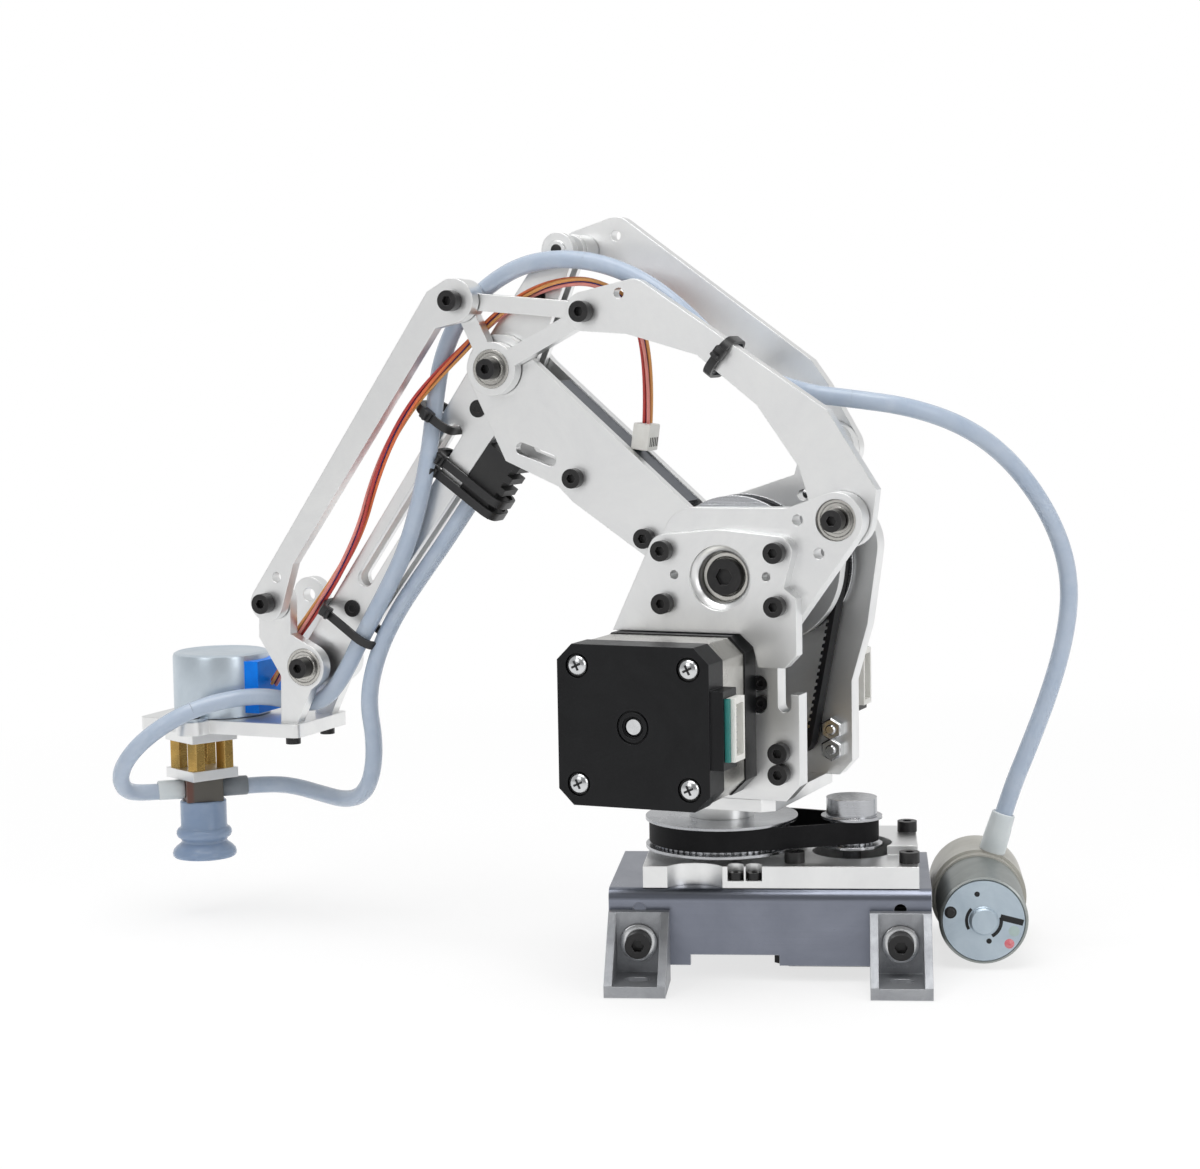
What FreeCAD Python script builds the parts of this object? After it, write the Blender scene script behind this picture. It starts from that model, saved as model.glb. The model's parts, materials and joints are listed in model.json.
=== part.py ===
import FreeCAD, Part
import math
import os
import Sketcher
from FreeCAD import Placement, Rotation, Vector

# Driving dimensions, in millimetres and degrees.
# The base frame has X to the right, Y to the back and Z up, with its origin on the
# floor at the middle of the four foot slots. The turret frame turns about the yaw axis.
SIZES = {
    # sheet metal base
    "base_width": 87.0,
    "base_depth": 54.0,
    "base_height": 25.0,
    "sheet_thick": 2.0,
    "bend_radius": 3.0,
    "flange_clear": 4.2,
    "relief_width": 24.0,
    "relief_centre": -9.4,
    "relief_height": 2.9,
    "peep_hole_dia": 3.4,
    "peep_hole_height": 19.6,
    # corner brackets used as feet
    "foot_width": 16.4,
    "foot_height": 19.4,
    "foot_reach": 19.4,
    "foot_wall": 3.0,
    "foot_rib": 2.2,
    "foot_lip": 3.2,
    "foot_pitch_x": "=base_width - foot_width - 0.4",
    "foot_slot_length": 6.6,
    "foot_slot_width": 4.4,
    "foot_slot_reach": 11.0,
    "foot_bolt_height": 11.2,
    "foot_bolt_dia": 4.0,
    "foot_head_dia": 7.0,
    "foot_head_height": 4.0,
    "foot_bolt_length": 6.0,
    "washer_dia": 10.0,
    "washer_thick": 1.0,
    # small fasteners
    "screw_dia": 3.0,
    "screw_head_dia": 5.5,
    "screw_head_height": 3.0,
    "screw_grip": 5.0,
    "fit_gap": 0.05,
    "free_gap": 0.3,
    # turntable
    "yaw_y": -3.5,
    "yaw_rest": -18.2,
    "clamp_width": 74.4,
    "clamp_front": 25.2,
    "clamp_back": 20.0,
    "clamp_thick": 6.0,
    "clamp_step": 2.5,
    "clamp_step_width": 15.0,
    "clamp_step_depth": 29.0,
    "recess_width": 15.0,
    "recess_depth": 4.5,
    "recess_shift": -6.3,
    "notch_dia": 4.4,
    "notch_pitch": 4.9,
    "notch_shift": 7.2,
    "bearing_outer": 19.0,
    "bearing_bore": 10.0,
    "bearing_width": 5.0,
    "bearing_race": 1.6,
    "hub_dia": 18.0,
    "base_belt_centres": 36.0,
    # stepper motors
    "motor_side": 42.3,
    "motor_corner": 4.2,
    "motor_pilot_dia": 22.0,
    "motor_pilot_height": 2.0,
    "motor_pitch": 31.0,
    "motor_shaft_dia": 5.0,
    "base_motor_height": 19.5,
    "cover_length": 10.0,
    "stator_length": 16.0,
    "bell_length": 8.0,
    "cover_boss_dia": 9.0,
    "cover_bore_dia": 6.0,
    "connector_length": 16.4,
    "connector_depth": 7.0,
    "connector_reach": 4.5,
    "connector_bulge": 3.6,
    # the base motor stands at the right end of the base, the turntable one belt run away
    "yaw_x": "=base_width / 2 - base_belt_centres - motor_side / 2 - 0.15",
    "clamp_centre": "=yaw_x + 16.8",
    # toothed belts and pulleys
    "big_teeth": 60,
    "small_teeth": 20,
    "tooth_pitch": 2.0,
    "pitch_line_offset": 0.254,
    "tooth_depth": 0.75,
    "tooth_gap": 1.0,
    "belt_width": 6.0,
    "belt_thick": 1.3,
    "pulley_face": 7.0,
    "flange_thick": 0.8,
    "flange_rise": 1.0,
    "pulley_lift": 1.6,
    "small_hub_length": 5.0,
    "small_hub_dia": 14.0,
    # turret
    "floor_thick": 3.4,
    "hub_gap": 5.8,
    "shoulder_x": 11.0,
    "shoulder_height": 110.0,
    "front_gap": 17.0,
    "back_gap": 21.0,
    "side_thick": 6.0,
    "cap_thick": 4.5,
    "cap_window": 17.4,
    "cap_screw_pitch_x": 31.8,
    "cap_screw_pitch_z": 14.1,
    "shoulder_belt_centres": 38.4,
    "shoulder_belt_angle": 250.2,
    "standoff_dia": 7.0,
    # linkage lengths and rest angles
    "arm_length": 92.3,
    "arm_angle": 143.06,
    "fore_length": 106.8,
    "fore_angle": 233.9,
    "level_length": 34.4,
    "level_angle": 26.6,
    "tip_length": 21.2,
    "tip_angle": 115.8,
    "crank_length": 37.4,
    "crank_angle": 60.6,
    # link plates
    "arm_half_gap": 4.5,
    "arm_plate": 3.0,
    "strip_thick": 2.5,
    "layer_gap": 0.5,
    "link_thick": 4.0,
    "fore_half": 4.0,
    "fore_plate": 2.0,
    "fore_slot_width": 5.0,
    "pivot_dia": 4.0,
    "pivot_head_dia": 5.8,
    "pivot_head_height": 3.4,
    "pivot_bearing_outer": 11.0,
    "rib_half": 2.5,
    "shaft_dia": 10.0,
    "shaft_tail_dia": 6.0,
    # tool
    "bracket_drop": 16.7,
    "bracket_thick": 4.0,
    "bracket_half": 13.0,
    "can_dia": 29.0,
    "can_height": 19.0,
    "can_offset": 35.8,
    "tool_offset": 8.0,
    "ear_pitch": 35.0,
    "ear_radius": 3.6,
    "ear_thick": 0.8,
    "cover_width": 14.6,
    "cover_reach": 17.2,
    "cover_height": 15.5,
    "tool_angle": 40.0,
    "head_angle": 24.0,
    "tool_plate_side": 15.7,
    "tool_top_thick": 4.0,
    "tool_bottom_thick": 3.0,
    "standoff_height": 8.5,
    "standoff_across": 5.0,
    "standoff_pitch": 10.0,
    "block_side": 11.0,
    "block_height": 7.0,
    "barb_dia": 4.0,
    "barb_length": 7.0,
    "cup_height": 17.8,
    "cup_neck_dia": 14.2,
    "cup_bellow_dia": 16.8,
    "cup_lip_dia": 19.4,
    "cup_wall": 1.4,
    # vent valve and vacuum pump
    "valve_along": 29.0,
    "valve_length": 18.0,
    "valve_height": 12.0,
    "valve_groove": 2.0,
    "pump_motor_dia": 24.4,
    "pump_motor_length": 28.0,
    "pump_head_dia": 27.0,
    "pump_head_length": 24.0,
    "pump_front": -13.0,
    "pump_gap": 0.9,
    "nozzle_dia": 6.4,
    "nozzle_length": 9.0,
    "nozzle_lean": 17.0,
    "nozzle_reach": 5.0,
    "hose_dia": 5.0,
    "loom_dia": 3.0,
}

doc = FreeCAD.newDocument("palletizing_arm")
sheet = doc.addObject("Spreadsheet::Sheet", "Sizes")
for row, (name, value) in enumerate(SIZES.items(), start=1):
    sheet.set(f"A{row}", name)
    sheet.set(f"B{row}", str(value))
    sheet.setAlias(f"B{row}", name)
doc.recompute()

nodes = []
Z_AXIS = Vector(0, 0, 1)


def size(name):
    """Read one driving dimension from the sheet."""
    return float(getattr(sheet, name))


def polar(length, angle):
    """Offset (x, z) of a given length at an angle in degrees."""
    turn = math.radians(angle)
    return length * math.cos(turn), length * math.sin(turn)


def shift(point, dx, dz):
    """A point moved by an offset."""
    return point[0] + dx, point[1] + dz


def disc(point, radius):
    """An outline item that wraps a round end about a point."""
    return point[0], point[1], radius


def corner(point, dx=0.0, dz=0.0):
    """An outline item that is a sharp corner, offset from a point."""
    return point[0] + dx, point[1] + dz, 0.0


def wrap(items):
    """Closed outline through round ends and corners, taken counter-clockwise.

    Each item is x, y and a radius: positive for a convex end, negative for a
    concave one and zero for a corner. Straight tangents join the items.
    """
    count = len(items)
    tangents = []
    for i in range(count):
        x1, y1, r1 = items[i]
        x2, y2, r2 = items[(i + 1) % count]
        heading = math.atan2(y2 - y1, x2 - x1)
        heading -= math.asin((r2 - r1) / math.hypot(x2 - x1, y2 - y1))
        nx, ny = -math.sin(heading), math.cos(heading)
        start = Vector(x1 - r1 * nx, y1 - r1 * ny, 0)
        end = Vector(x2 - r2 * nx, y2 - r2 * ny, 0)
        tangents.append((start, end, heading))
    edges = []
    for i in range(count):
        x, y, radius = items[i]
        arrive = tangents[i - 1]
        leave = tangents[i]
        if radius and (arrive[1] - leave[0]).Length > 1e-6:
            turn = leave[2] - arrive[2]
            turn = turn % (2 * math.pi) if radius > 0 else -((-turn) % (2 * math.pi))
            middle = arrive[2] + turn / 2
            mid = Vector(x + radius * math.sin(middle), y - radius * math.cos(middle), 0)
            edges.append(Part.Arc(arrive[1], mid, leave[0]))
        edges.append(Part.LineSegment(leave[0], leave[1]))
    return edges


def pill(start, end, radius):
    """A slot outline between two centres."""
    return wrap([disc(start, radius), disc(end, radius)])


def box_outline(x_low, x_high, y_low, y_high):
    """A rectangle outline."""
    return wrap([(x_low, y_low, 0), (x_high, y_low, 0), (x_high, y_high, 0), (x_low, y_high, 0)])


def keep(item, label):
    """Label a finished sub-part and list it as a node."""
    item.Label = label
    nodes.append(item)
    return item


def origin_plane(body, role):
    """One of a body's own origin planes."""
    return next(item for item in body.Origin.OriginFeatures if item.Role == role)


def add_sketch(body, edges, role="XY_Plane", lift=None):
    """A sketch of given edges on an origin plane, lifted by an expression."""
    sketch = body.newObject("Sketcher::SketchObject", body.Name + "_sketch")
    sketch.AttachmentSupport = (origin_plane(body, role), "")
    sketch.MapMode = "FlatFace"
    if lift:
        sketch.setExpression("AttachmentOffset.Base.z", lift)
    for edge in edges:
        sketch.addGeometry(edge)
    return sketch


def add_pad(body, edges, length, lift=None):
    """A pad of an outline, its length bound to the sheet."""
    pad = body.newObject("PartDesign::Pad", body.Name + "_pad")
    pad.Profile = add_sketch(body, edges, lift=lift)
    pad.setExpression("Length", length)
    return pad


def add_pocket(body, edges, length=None, lift=None):
    """A pocket cut upwards, right through or to a bound depth."""
    pocket = body.newObject("PartDesign::Pocket", body.Name + "_pocket")
    pocket.Profile = add_sketch(body, edges, lift=lift)
    pocket.Reversed = True
    if length:
        pocket.setExpression("Length", length)
    else:
        pocket.Type = "ThroughAll"
    return pocket


def add_holes(body, holes, length=None, lift=None):
    """Round holes whose diameters are bound to the sheet."""
    pocket = add_pocket(body, [], length, lift)
    sketch = pocket.Profile[0]
    for point, diameter in holes:
        place = Vector(point[0], point[1], 0)
        ring = sketch.addGeometry(Part.Circle(place, Z_AXIS, 1.0))
        rule = sketch.addConstraint(Sketcher.Constraint("Diameter", ring, 2.0))
        sketch.setExpression(f"Constraints[{rule}]", diameter)
    return pocket


def plate(label, outline, thick, place, holes=(), cuts=(), more=()):
    """A flat plate: an outline, further outlines joined to it, holes and cuts."""
    body = doc.addObject("PartDesign::Body", label)
    add_pad(body, outline, thick)
    for extra in more:
        add_pad(body, extra, thick)
    if holes:
        add_holes(body, holes)
    for cut in cuts:
        add_pocket(body, cut)
    body.Placement = place
    return keep(body, label)


def plate_pair(label, outline, thick, backs, holes=(), cuts=()):
    """Two like plates that stand in the arm's plane, with their back faces at given depths."""
    body = doc.addObject("PartDesign::Body", label + "_pattern")
    add_pad(body, outline, thick)
    add_holes(body, holes)
    for cut in cuts:
        add_pocket(body, cut)
    doc.recompute()
    return group(label, [put(body.Shape, 0, y, 0, FACE_FRONT) for y in backs], TURRET)


def turned(label, profile, place):
    """A turned piece from a closed profile of (radius, height) points."""
    points = [Vector(r, h, 0) for r, h in profile]
    edges = [Part.LineSegment(a, b) for a, b in zip(points, points[1:] + points[:1])]
    return turned_outline(label, edges, place)


def turned_outline(label, edges, place):
    """A turned piece from the edges of its closed half section."""
    body = doc.addObject("PartDesign::Body", label)
    turn = body.newObject("PartDesign::Revolution", label + "_turn")
    turn.Profile = add_sketch(body, edges, role="XZ_Plane")
    turn.ReferenceAxis = (turn.Profile[0], ["V_Axis"])
    turn.Angle = 360.0
    body.Placement = place
    return keep(body, label)


def group(label, shapes, place=Placement()):
    """One node that holds several like solids."""
    item = doc.addObject("Part::Feature", label)
    item.Shape = Part.makeCompound(shapes)
    item.Placement = place
    return keep(item, label)


def cylinder(diameter, length, start=0.0):
    """A plain cylinder along +Z."""
    return Part.makeCylinder(diameter / 2, length, Vector(0, 0, start), Z_AXIS)


def ring(outer, bore, length, start=0.0):
    """A plain ring along +Z."""
    return cylinder(outer, length, start).cut(cylinder(bore, length, start))


def ball_race(outer, bore, width):
    """A ball bearing: two races with a recessed shield between them."""
    race = size("bearing_race") * (outer - bore) / (size("bearing_outer") - size("bearing_bore"))
    shield = ring(outer - 2 * race, bore + 2 * race, width * 0.8, width * 0.1)
    outside = ring(outer, outer - 2 * race, width)
    inside = ring(bore + 2 * race, bore, width)
    return outside.fuse([inside, shield]).removeSplitter()


def cap_screw(head, rise, shank, length):
    """A socket cap screw with its seat at z = 0, its head above and its shank below."""
    body = cylinder(head, rise)
    if length:
        body = body.fuse(cylinder(shank, length, -length))
    across = head * 0.25
    hexagon = [Vector(*polar(across, 60 * i), rise * 0.45) for i in range(7)]
    socket = Part.Face(Part.makePolygon(hexagon)).extrude(Vector(0, 0, rise))
    return body.cut(socket).removeSplitter()


def small_screw(length=None):
    """The small cap screw used all over."""
    grip = length if length else size("screw_grip")
    return cap_screw(size("screw_head_dia"), size("screw_head_height"), size("screw_dia"), grip)


def pivot_screw(length):
    """The cap screw that forms a link's pivot."""
    return cap_screw(size("pivot_head_dia"), size("pivot_head_height"), size("pivot_dia"), length)


def put(shape, x, y, z, rotation=Rotation()):
    """A copy of a shape, turned and moved."""
    copy = shape.copy()
    copy.Placement = Placement(Vector(x, y, z), rotation) * shape.Placement
    return copy


FACE_FRONT = Rotation(Vector(1, 0, 0), 90)
FACE_BACK = Rotation(Vector(1, 0, 0), -90)
FACE_DOWN = Rotation(Vector(1, 0, 0), 180)
TURRET = Placement(Vector(size("yaw_x"), size("yaw_y"), 0), Rotation(Z_AXIS, size("yaw_rest")))


def slab(edges, low, high):
    """A slab drawn in the arm's plane between two depths, in the turret frame."""
    face = Part.Face(Part.Wire([edge.toShape() for edge in edges]))
    return put(face.extrude(Vector(0, 0, high - low)), 0, high, 0, FACE_FRONT)


def across(shape, point, y, turn=FACE_FRONT):
    """A turned shape set on an axis that runs across the arm."""
    return put(shape, point[0], y, point[1], turn)


def upright(y_back):
    """Placement of a plate drawn in the arm's plane, with its back face at y_back."""
    return TURRET * Placement(Vector(0, y_back, 0), FACE_FRONT)


def level(height):
    """Placement of a plate drawn flat in the turret frame."""
    return TURRET * Placement(Vector(0, 0, height), Rotation())


# Pivot points of the linkage at rest, as (x, z) in the turret frame.
shoulder = (size("shoulder_x"), size("shoulder_height"))
elbow = shift(shoulder, *polar(size("arm_length"), size("arm_angle")))
wrist = shift(elbow, *polar(size("fore_length"), size("fore_angle")))
level_step = polar(size("level_length"), size("level_angle"))
tip_step = polar(size("tip_length"), size("tip_angle"))
crank_step = polar(size("crank_length"), size("crank_angle"))
ear = shift(shoulder, *level_step)
level_end = shift(elbow, *level_step)
link_top = shift(elbow, *tip_step)
link_low = shift(wrist, *tip_step)
crank_pin = shift(shoulder, *crank_step)
lever_pin = shift(elbow, *crank_step)
motor = shift(shoulder, *polar(size("shoulder_belt_centres"), size("shoulder_belt_angle")))

# Layers across the arm, as y in the turret frame, from the front to the back.
side_front = -size("front_gap") - size("side_thick")
cap_front = side_front - size("cap_thick")
arm_outer = size("arm_half_gap") + size("arm_plate")
tri_back = -arm_outer - size("layer_gap")
tri_front = tri_back - size("link_thick")
rod_back = tri_front - size("layer_gap")
rod_front = rod_back - size("link_thick")
crank_front = arm_outer + size("layer_gap")
crank_back = crank_front + size("link_thick")
drive_front = crank_back + size("layer_gap")
drive_back = drive_front + size("link_thick")
side_back = size("back_gap") + size("side_thick")
cap_back = side_back + size("cap_thick")

# Levels of the base.
base_top = size("base_height")
clamp_top = base_top + size("clamp_thick")
pulley_height = size("pulley_face") + 2 * size("flange_thick")
pulley_bottom = clamp_top + size("pulley_lift")
pulley_top = pulley_bottom + pulley_height
floor_bottom = pulley_top + size("hub_gap")
floor_top = floor_bottom + size("floor_thick")
yaw_axis = (size("yaw_x"), size("yaw_y"))
base_motor_axis = shift(yaw_axis, size("base_belt_centres"), 0)


def square_ring(point, pitch):
    """The four corners of a square hole pattern about a point."""
    half = pitch / 2
    return [shift(point, sx * half, sz * half) for sx in (-1, 1) for sz in (-1, 1)]


def tip_radius(teeth):
    """Outside radius of a toothed pulley."""
    return teeth * size("tooth_pitch") / (2 * math.pi) - size("pitch_line_offset")


big_tip = tip_radius(size("big_teeth"))
small_tip = tip_radius(size("small_teeth"))


def toothed(label, teeth, bore, place, hub=None, shaft=None):
    """A flanged pulley with cut teeth, a hub above it and, if asked, its motor shaft."""
    tip = tip_radius(teeth)
    rim = tip + size("belt_thick") + size("flange_rise")
    thick = size("flange_thick")
    top = thick + size("pulley_face")
    profile = [(bore, 0), (rim, 0), (rim, thick), (tip, thick), (tip, top), (rim, top), (rim, top + thick)]
    end = top + thick
    if hub:
        end = top + thick + hub[1]
        profile += [(hub[0], top + thick), (hub[0], end)]
    if shaft:
        low, high = shaft
        profile = [(0, low), (bore, low)] + profile if low < 0 else [(0, 0)] + profile[1:]
        profile += [(bore, end), (bore, high), (0, high)] if high > end else [(0, end)]
    else:
        profile += [(bore, end)]
    body = turned(label, profile, place)
    half = size("tooth_gap") / 2
    root = tip - size("tooth_depth")
    outside = tip + size("fit_gap")
    notch = wrap([(root, -half * 0.6, 0), (outside, -half, 0), (outside, half, 0), (root, half * 0.6, 0)])
    cut = add_pocket(body, notch, "Sizes.pulley_face", "Sizes.flange_thick")
    pattern = body.newObject("PartDesign::PolarPattern", label + "_teeth")
    pattern.Originals = [cut]
    pattern.Axis = (cut.Profile[0], ["N_Axis"])
    pattern.Angle = 360.0
    pattern.Occurrences = int(teeth)
    body.Tip = pattern
    return body


def belt(label, big, small, place, idlers=()):
    """A closed belt around a big and a small pulley and, if given, plain posts of standoff size."""
    inner = [disc(big, big_tip + size("fit_gap")), disc(small, small_tip + size("fit_gap"))]
    inner += [disc(point, size("standoff_dia") / 2 + size("fit_gap")) for point in idlers]
    outer = [(x, y, r + size("belt_thick")) for x, y, r in inner]
    return plate(label, wrap(outer) + wrap(inner), "Sizes.belt_width", place)


# Sheet metal base: an inverted channel with open ends.
half_depth = size("base_depth") / 2
half_width = size("base_width") / 2
skirt = size("flange_clear")
bend = size("bend_radius")
sheet_t = size("sheet_thick")
channel = wrap([
    (-half_depth, skirt, 0),
    (-half_depth + sheet_t, skirt, 0),
    (-half_depth + bend, base_top - bend, -(bend - sheet_t)),
    (half_depth - bend, base_top - bend, -(bend - sheet_t)),
    (half_depth - sheet_t, skirt, 0),
    (half_depth, skirt, 0),
    (half_depth - bend, base_top - bend, bend),
    (-half_depth + bend, base_top - bend, bend),
])
base = doc.addObject("PartDesign::Body", "base_frame")
bent = base.newObject("PartDesign::Pad", "base_bend")
bent.Profile = add_sketch(base, channel, role="YZ_Plane")
bent.setExpression("Length", "Sizes.base_width")
bent.Midplane = True
motor_holes = square_ring(base_motor_axis, size("motor_pitch"))
add_holes(base, [(yaw_axis, "Sizes.bearing_bore + 4 * Sizes.bearing_race"),
                 (base_motor_axis, "Sizes.motor_pilot_dia + 2 * Sizes.fit_gap")]
          + [(point, "Sizes.screw_dia + 2 * Sizes.fit_gap") for point in motor_holes])
relief_x = size("relief_centre")
relief_half = size("relief_width") / 2
feet_x = [-size("foot_pitch_x") / 2, size("foot_pitch_x") / 2]
relief = base.newObject("PartDesign::Pocket", "base_relief")
relief.Profile = add_sketch(base, box_outline(relief_x - relief_half, relief_x + relief_half,
                                              skirt - 1, skirt + size("relief_height")), role="XZ_Plane")
relief.Type = "ThroughAll"
relief.Midplane = True
drilled = base.newObject("PartDesign::Pocket", "base_flange_holes")
drilled.Profile = add_sketch(base, [], role="XZ_Plane")
for x in feet_x:
    for z, diameter in ((size("peep_hole_height"), "Sizes.peep_hole_dia"),
                        (size("foot_bolt_height"), "Sizes.foot_bolt_dia + 2 * Sizes.fit_gap")):
        sketch = drilled.Profile[0]
        hole = sketch.addGeometry(Part.Circle(Vector(x, z, 0), Z_AXIS, 1.0))
        rule = sketch.addConstraint(Sketcher.Constraint("Diameter", hole, 2.0))
        sketch.setExpression(f"Constraints[{rule}]", diameter)
drilled.Type = "ThroughAll"
drilled.Midplane = True
keep(base, "base_frame")


def foot_bracket():
    """A cast corner bracket: wall, floor and two sloping ribs, open to -Y from y = 0."""
    width = size("foot_width")
    reach = size("foot_reach")
    wall = size("foot_wall")
    lip = size("foot_lip")
    high = size("foot_height")
    angle = [(0, 0), (-reach, 0), (-reach, wall), (-wall, wall), (-wall, high), (0, high)]
    rib = [(0, 0), (-reach, 0), (-reach, lip), (-wall, high), (0, high)]

    def prism(points, low, high_x):
        face = Part.Face(Part.makePolygon([Vector(low, y, z) for y, z in points + points[:1]]))
        return face.extrude(Vector(high_x - low, 0, 0))

    bracket = prism(angle, -width / 2, width / 2)
    bracket = bracket.fuse([prism(rib, -width / 2, -width / 2 + size("foot_rib")),
                            prism(rib, width / 2 - size("foot_rib"), width / 2)])
    bolt = Part.makeCylinder(size("foot_bolt_dia") / 2 + size("fit_gap"), reach,
                             Vector(0, 0, size("foot_bolt_height")), Vector(0, -1, 0))
    run = (size("foot_slot_length") - size("foot_slot_width")) / 2
    middle = (0, -size("foot_slot_reach"))
    edges = pill(shift(middle, -run, 0), shift(middle, run, 0), size("foot_slot_width") / 2)
    slot = Part.Face(Part.Wire([edge.toShape() for edge in edges])).extrude(Vector(0, 0, wall))
    return bracket.cut([bolt, slot]).removeSplitter()


TURN_BACK = Rotation(Z_AXIS, 180)
foot = foot_bracket()
group("foot_brackets", [put(foot, x, y, 0, turn) for x in feet_x
                        for y, turn in ((-half_depth, Rotation()), (half_depth, TURN_BACK))])

# Foot bolts with their washers, clamp screws and motor screws of the base.
bolt = cap_screw(size("foot_head_dia"), size("foot_head_height"),
                 size("foot_bolt_dia"), size("foot_bolt_length"))
washer = ring(size("washer_dia"), size("foot_bolt_dia"), size("washer_thick"))
seat = half_depth + size("foot_wall")
base_fasteners = []
for x in feet_x:
    for sign, turn in ((-1, FACE_FRONT), (1, FACE_BACK)):
        base_fasteners.append(put(washer, x, sign * seat, size("foot_bolt_height"), turn))
        base_fasteners.append(put(bolt, x, sign * (seat + size("washer_thick")),
                                  size("foot_bolt_height"), turn))
step_left = size("clamp_centre") + size("clamp_width") / 2 - size("clamp_step_width")
step_front = size("clamp_back") - size("clamp_step_depth")
for x, y in motor_holes:
    on_step = x > step_left and y > step_front
    base_fasteners.append(put(small_screw(size("clamp_thick") + size("sheet_thick")), x, y,
                              clamp_top + (size("clamp_step") if on_step else 0.0)))
notch_left = shift(yaw_axis, size("notch_shift") - size("notch_pitch") / 2, 0)
notch_floor = base_top + size("clamp_thick") / 3
for step in (0, 1):
    base_fasteners.append(put(cap_screw(size("notch_dia") - 2 * size("free_gap"), 2.0, 0.0, 0.0),
                              notch_left[0] + step * size("notch_pitch"),
                              -size("clamp_front") + size("notch_dia") / 2, notch_floor))
group("base_screws", base_fasteners)

# Milled plate that clamps the turntable bearing.
clamp_left = size("clamp_centre") - size("clamp_width") / 2
clamp_right = size("clamp_centre") + size("clamp_width") / 2
front_y = -size("clamp_front")
recess_x = size("yaw_x") + size("recess_shift")
chord = size("recess_width") / 2
sag = size("recess_depth")
recess_radius = (chord ** 2 + sag ** 2) / (2 * sag)
clamp = doc.addObject("PartDesign::Body", "bearing_clamp_plate")
add_pad(clamp, box_outline(clamp_left, clamp_right, front_y, size("clamp_back")), "Sizes.clamp_thick")
add_pad(clamp, box_outline(step_left, clamp_right, step_front, size("clamp_back")),
        "Sizes.clamp_thick + Sizes.clamp_step")
add_holes(clamp, [(yaw_axis, "Sizes.bearing_outer"),
                  (base_motor_axis, "Sizes.motor_pilot_dia + 2 * Sizes.fit_gap")]
          + [(point, "Sizes.screw_dia") for point in motor_holes])
add_pocket(clamp, [Part.Circle(Vector(recess_x, front_y + sag - recess_radius, 0), Z_AXIS, recess_radius)])
for step in (0, 1):
    middle = Vector(notch_left[0] + step * size("notch_pitch"), front_y + size("notch_dia") / 2, 0)
    start = (middle.x, middle.y)
    add_pocket(clamp, pill(start, shift(start, 0, -size("notch_dia")), size("notch_dia") / 2),
               lift="Sizes.clamp_thick / 3")
clamp.Placement = Placement(Vector(0, 0, base_top), Rotation())
keep(clamp, "bearing_clamp_plate")

race = ball_race(size("bearing_outer"), size("bearing_bore"), size("bearing_width"))
group("turntable_bearing", [put(race, *yaw_axis, base_top)])


def motor_square(side):
    """A square motor section with cut corners, centred on its axis."""
    half = side / 2
    cut = half - size("motor_corner")
    points = [(half, -cut), (half, cut), (cut, half), (-cut, half)]
    points += [(-x, -y) for x, y in points]
    return wrap([(x, y, 0) for x, y in points])


# Flat motor that hangs under the base and turns the turntable.
base_motor = doc.addObject("PartDesign::Body", "base_motor")
add_pad(base_motor, motor_square(size("motor_side")), "Sizes.base_motor_height - Sizes.bend_radius")
add_pad(base_motor, motor_square(size("motor_side") - 2 * size("bend_radius")), "Sizes.base_motor_height")
pilot = [Part.Circle(Vector(0, 0, 0), Z_AXIS, size("motor_pilot_dia") / 2)]
add_pad(base_motor, pilot, "Sizes.base_motor_height + Sizes.motor_pilot_height")
base_motor_bottom = base_top - size("sheet_thick") - size("base_motor_height")
add_holes(base_motor, [((0, 0), "Sizes.motor_shaft_dia + 2 * Sizes.fit_gap")])
base_motor.Placement = Placement(Vector(*base_motor_axis, base_motor_bottom), Rotation())
keep(base_motor, "base_motor")

# Turntable drive: big pulley on the turret, small pulley on the motor, belt between.
toothed("turntable_pulley", size("big_teeth"), size("shaft_dia") / 2,
        TURRET * Placement(Vector(0, 0, pulley_bottom), Rotation()))
toothed("base_motor_pulley", size("small_teeth"), size("motor_shaft_dia") / 2,
        Placement(Vector(*base_motor_axis, pulley_bottom), Rotation()),
        hub=(size("small_hub_dia") / 2, size("small_hub_length")),
        shaft=(base_motor_bottom + 2 - pulley_bottom, 0))
belt_level = pulley_top - size("flange_thick") - size("belt_width") - size("fit_gap")
belt("base_belt", yaw_axis, base_motor_axis, Placement(Vector(0, 0, belt_level), Rotation()))

# Turret: hub, floor, two side plates and their bearing caps.
shaft_r = size("shaft_dia") / 2
hub_r = size("hub_dia") / 2
shaft_foot = base_top - size("sheet_thick")
turned("turret_hub", [(0, shaft_foot), (shaft_r - size("fit_gap"), shaft_foot),
                      (shaft_r - size("fit_gap"), clamp_top), (shaft_r, clamp_top), (shaft_r, pulley_top),
                      (hub_r, pulley_top), (hub_r, floor_bottom), (0, floor_bottom)], TURRET)
wall_left = shift(motor, -size("motor_side") / 2 - 1.0, 0)[0]
wall_right = shoulder[0] + 20.3
floor_right = wall_right - 8.0
floor_items = [(wall_left, side_front, 0), (floor_right - 3.0, side_front, 0),
               (floor_right, side_front + 3, 0), (floor_right, side_back, 0), (wall_left, side_back, 0)]
plate("turret_floor_plate", wrap(floor_items), "Sizes.floor_thick", level(floor_bottom))

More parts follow.
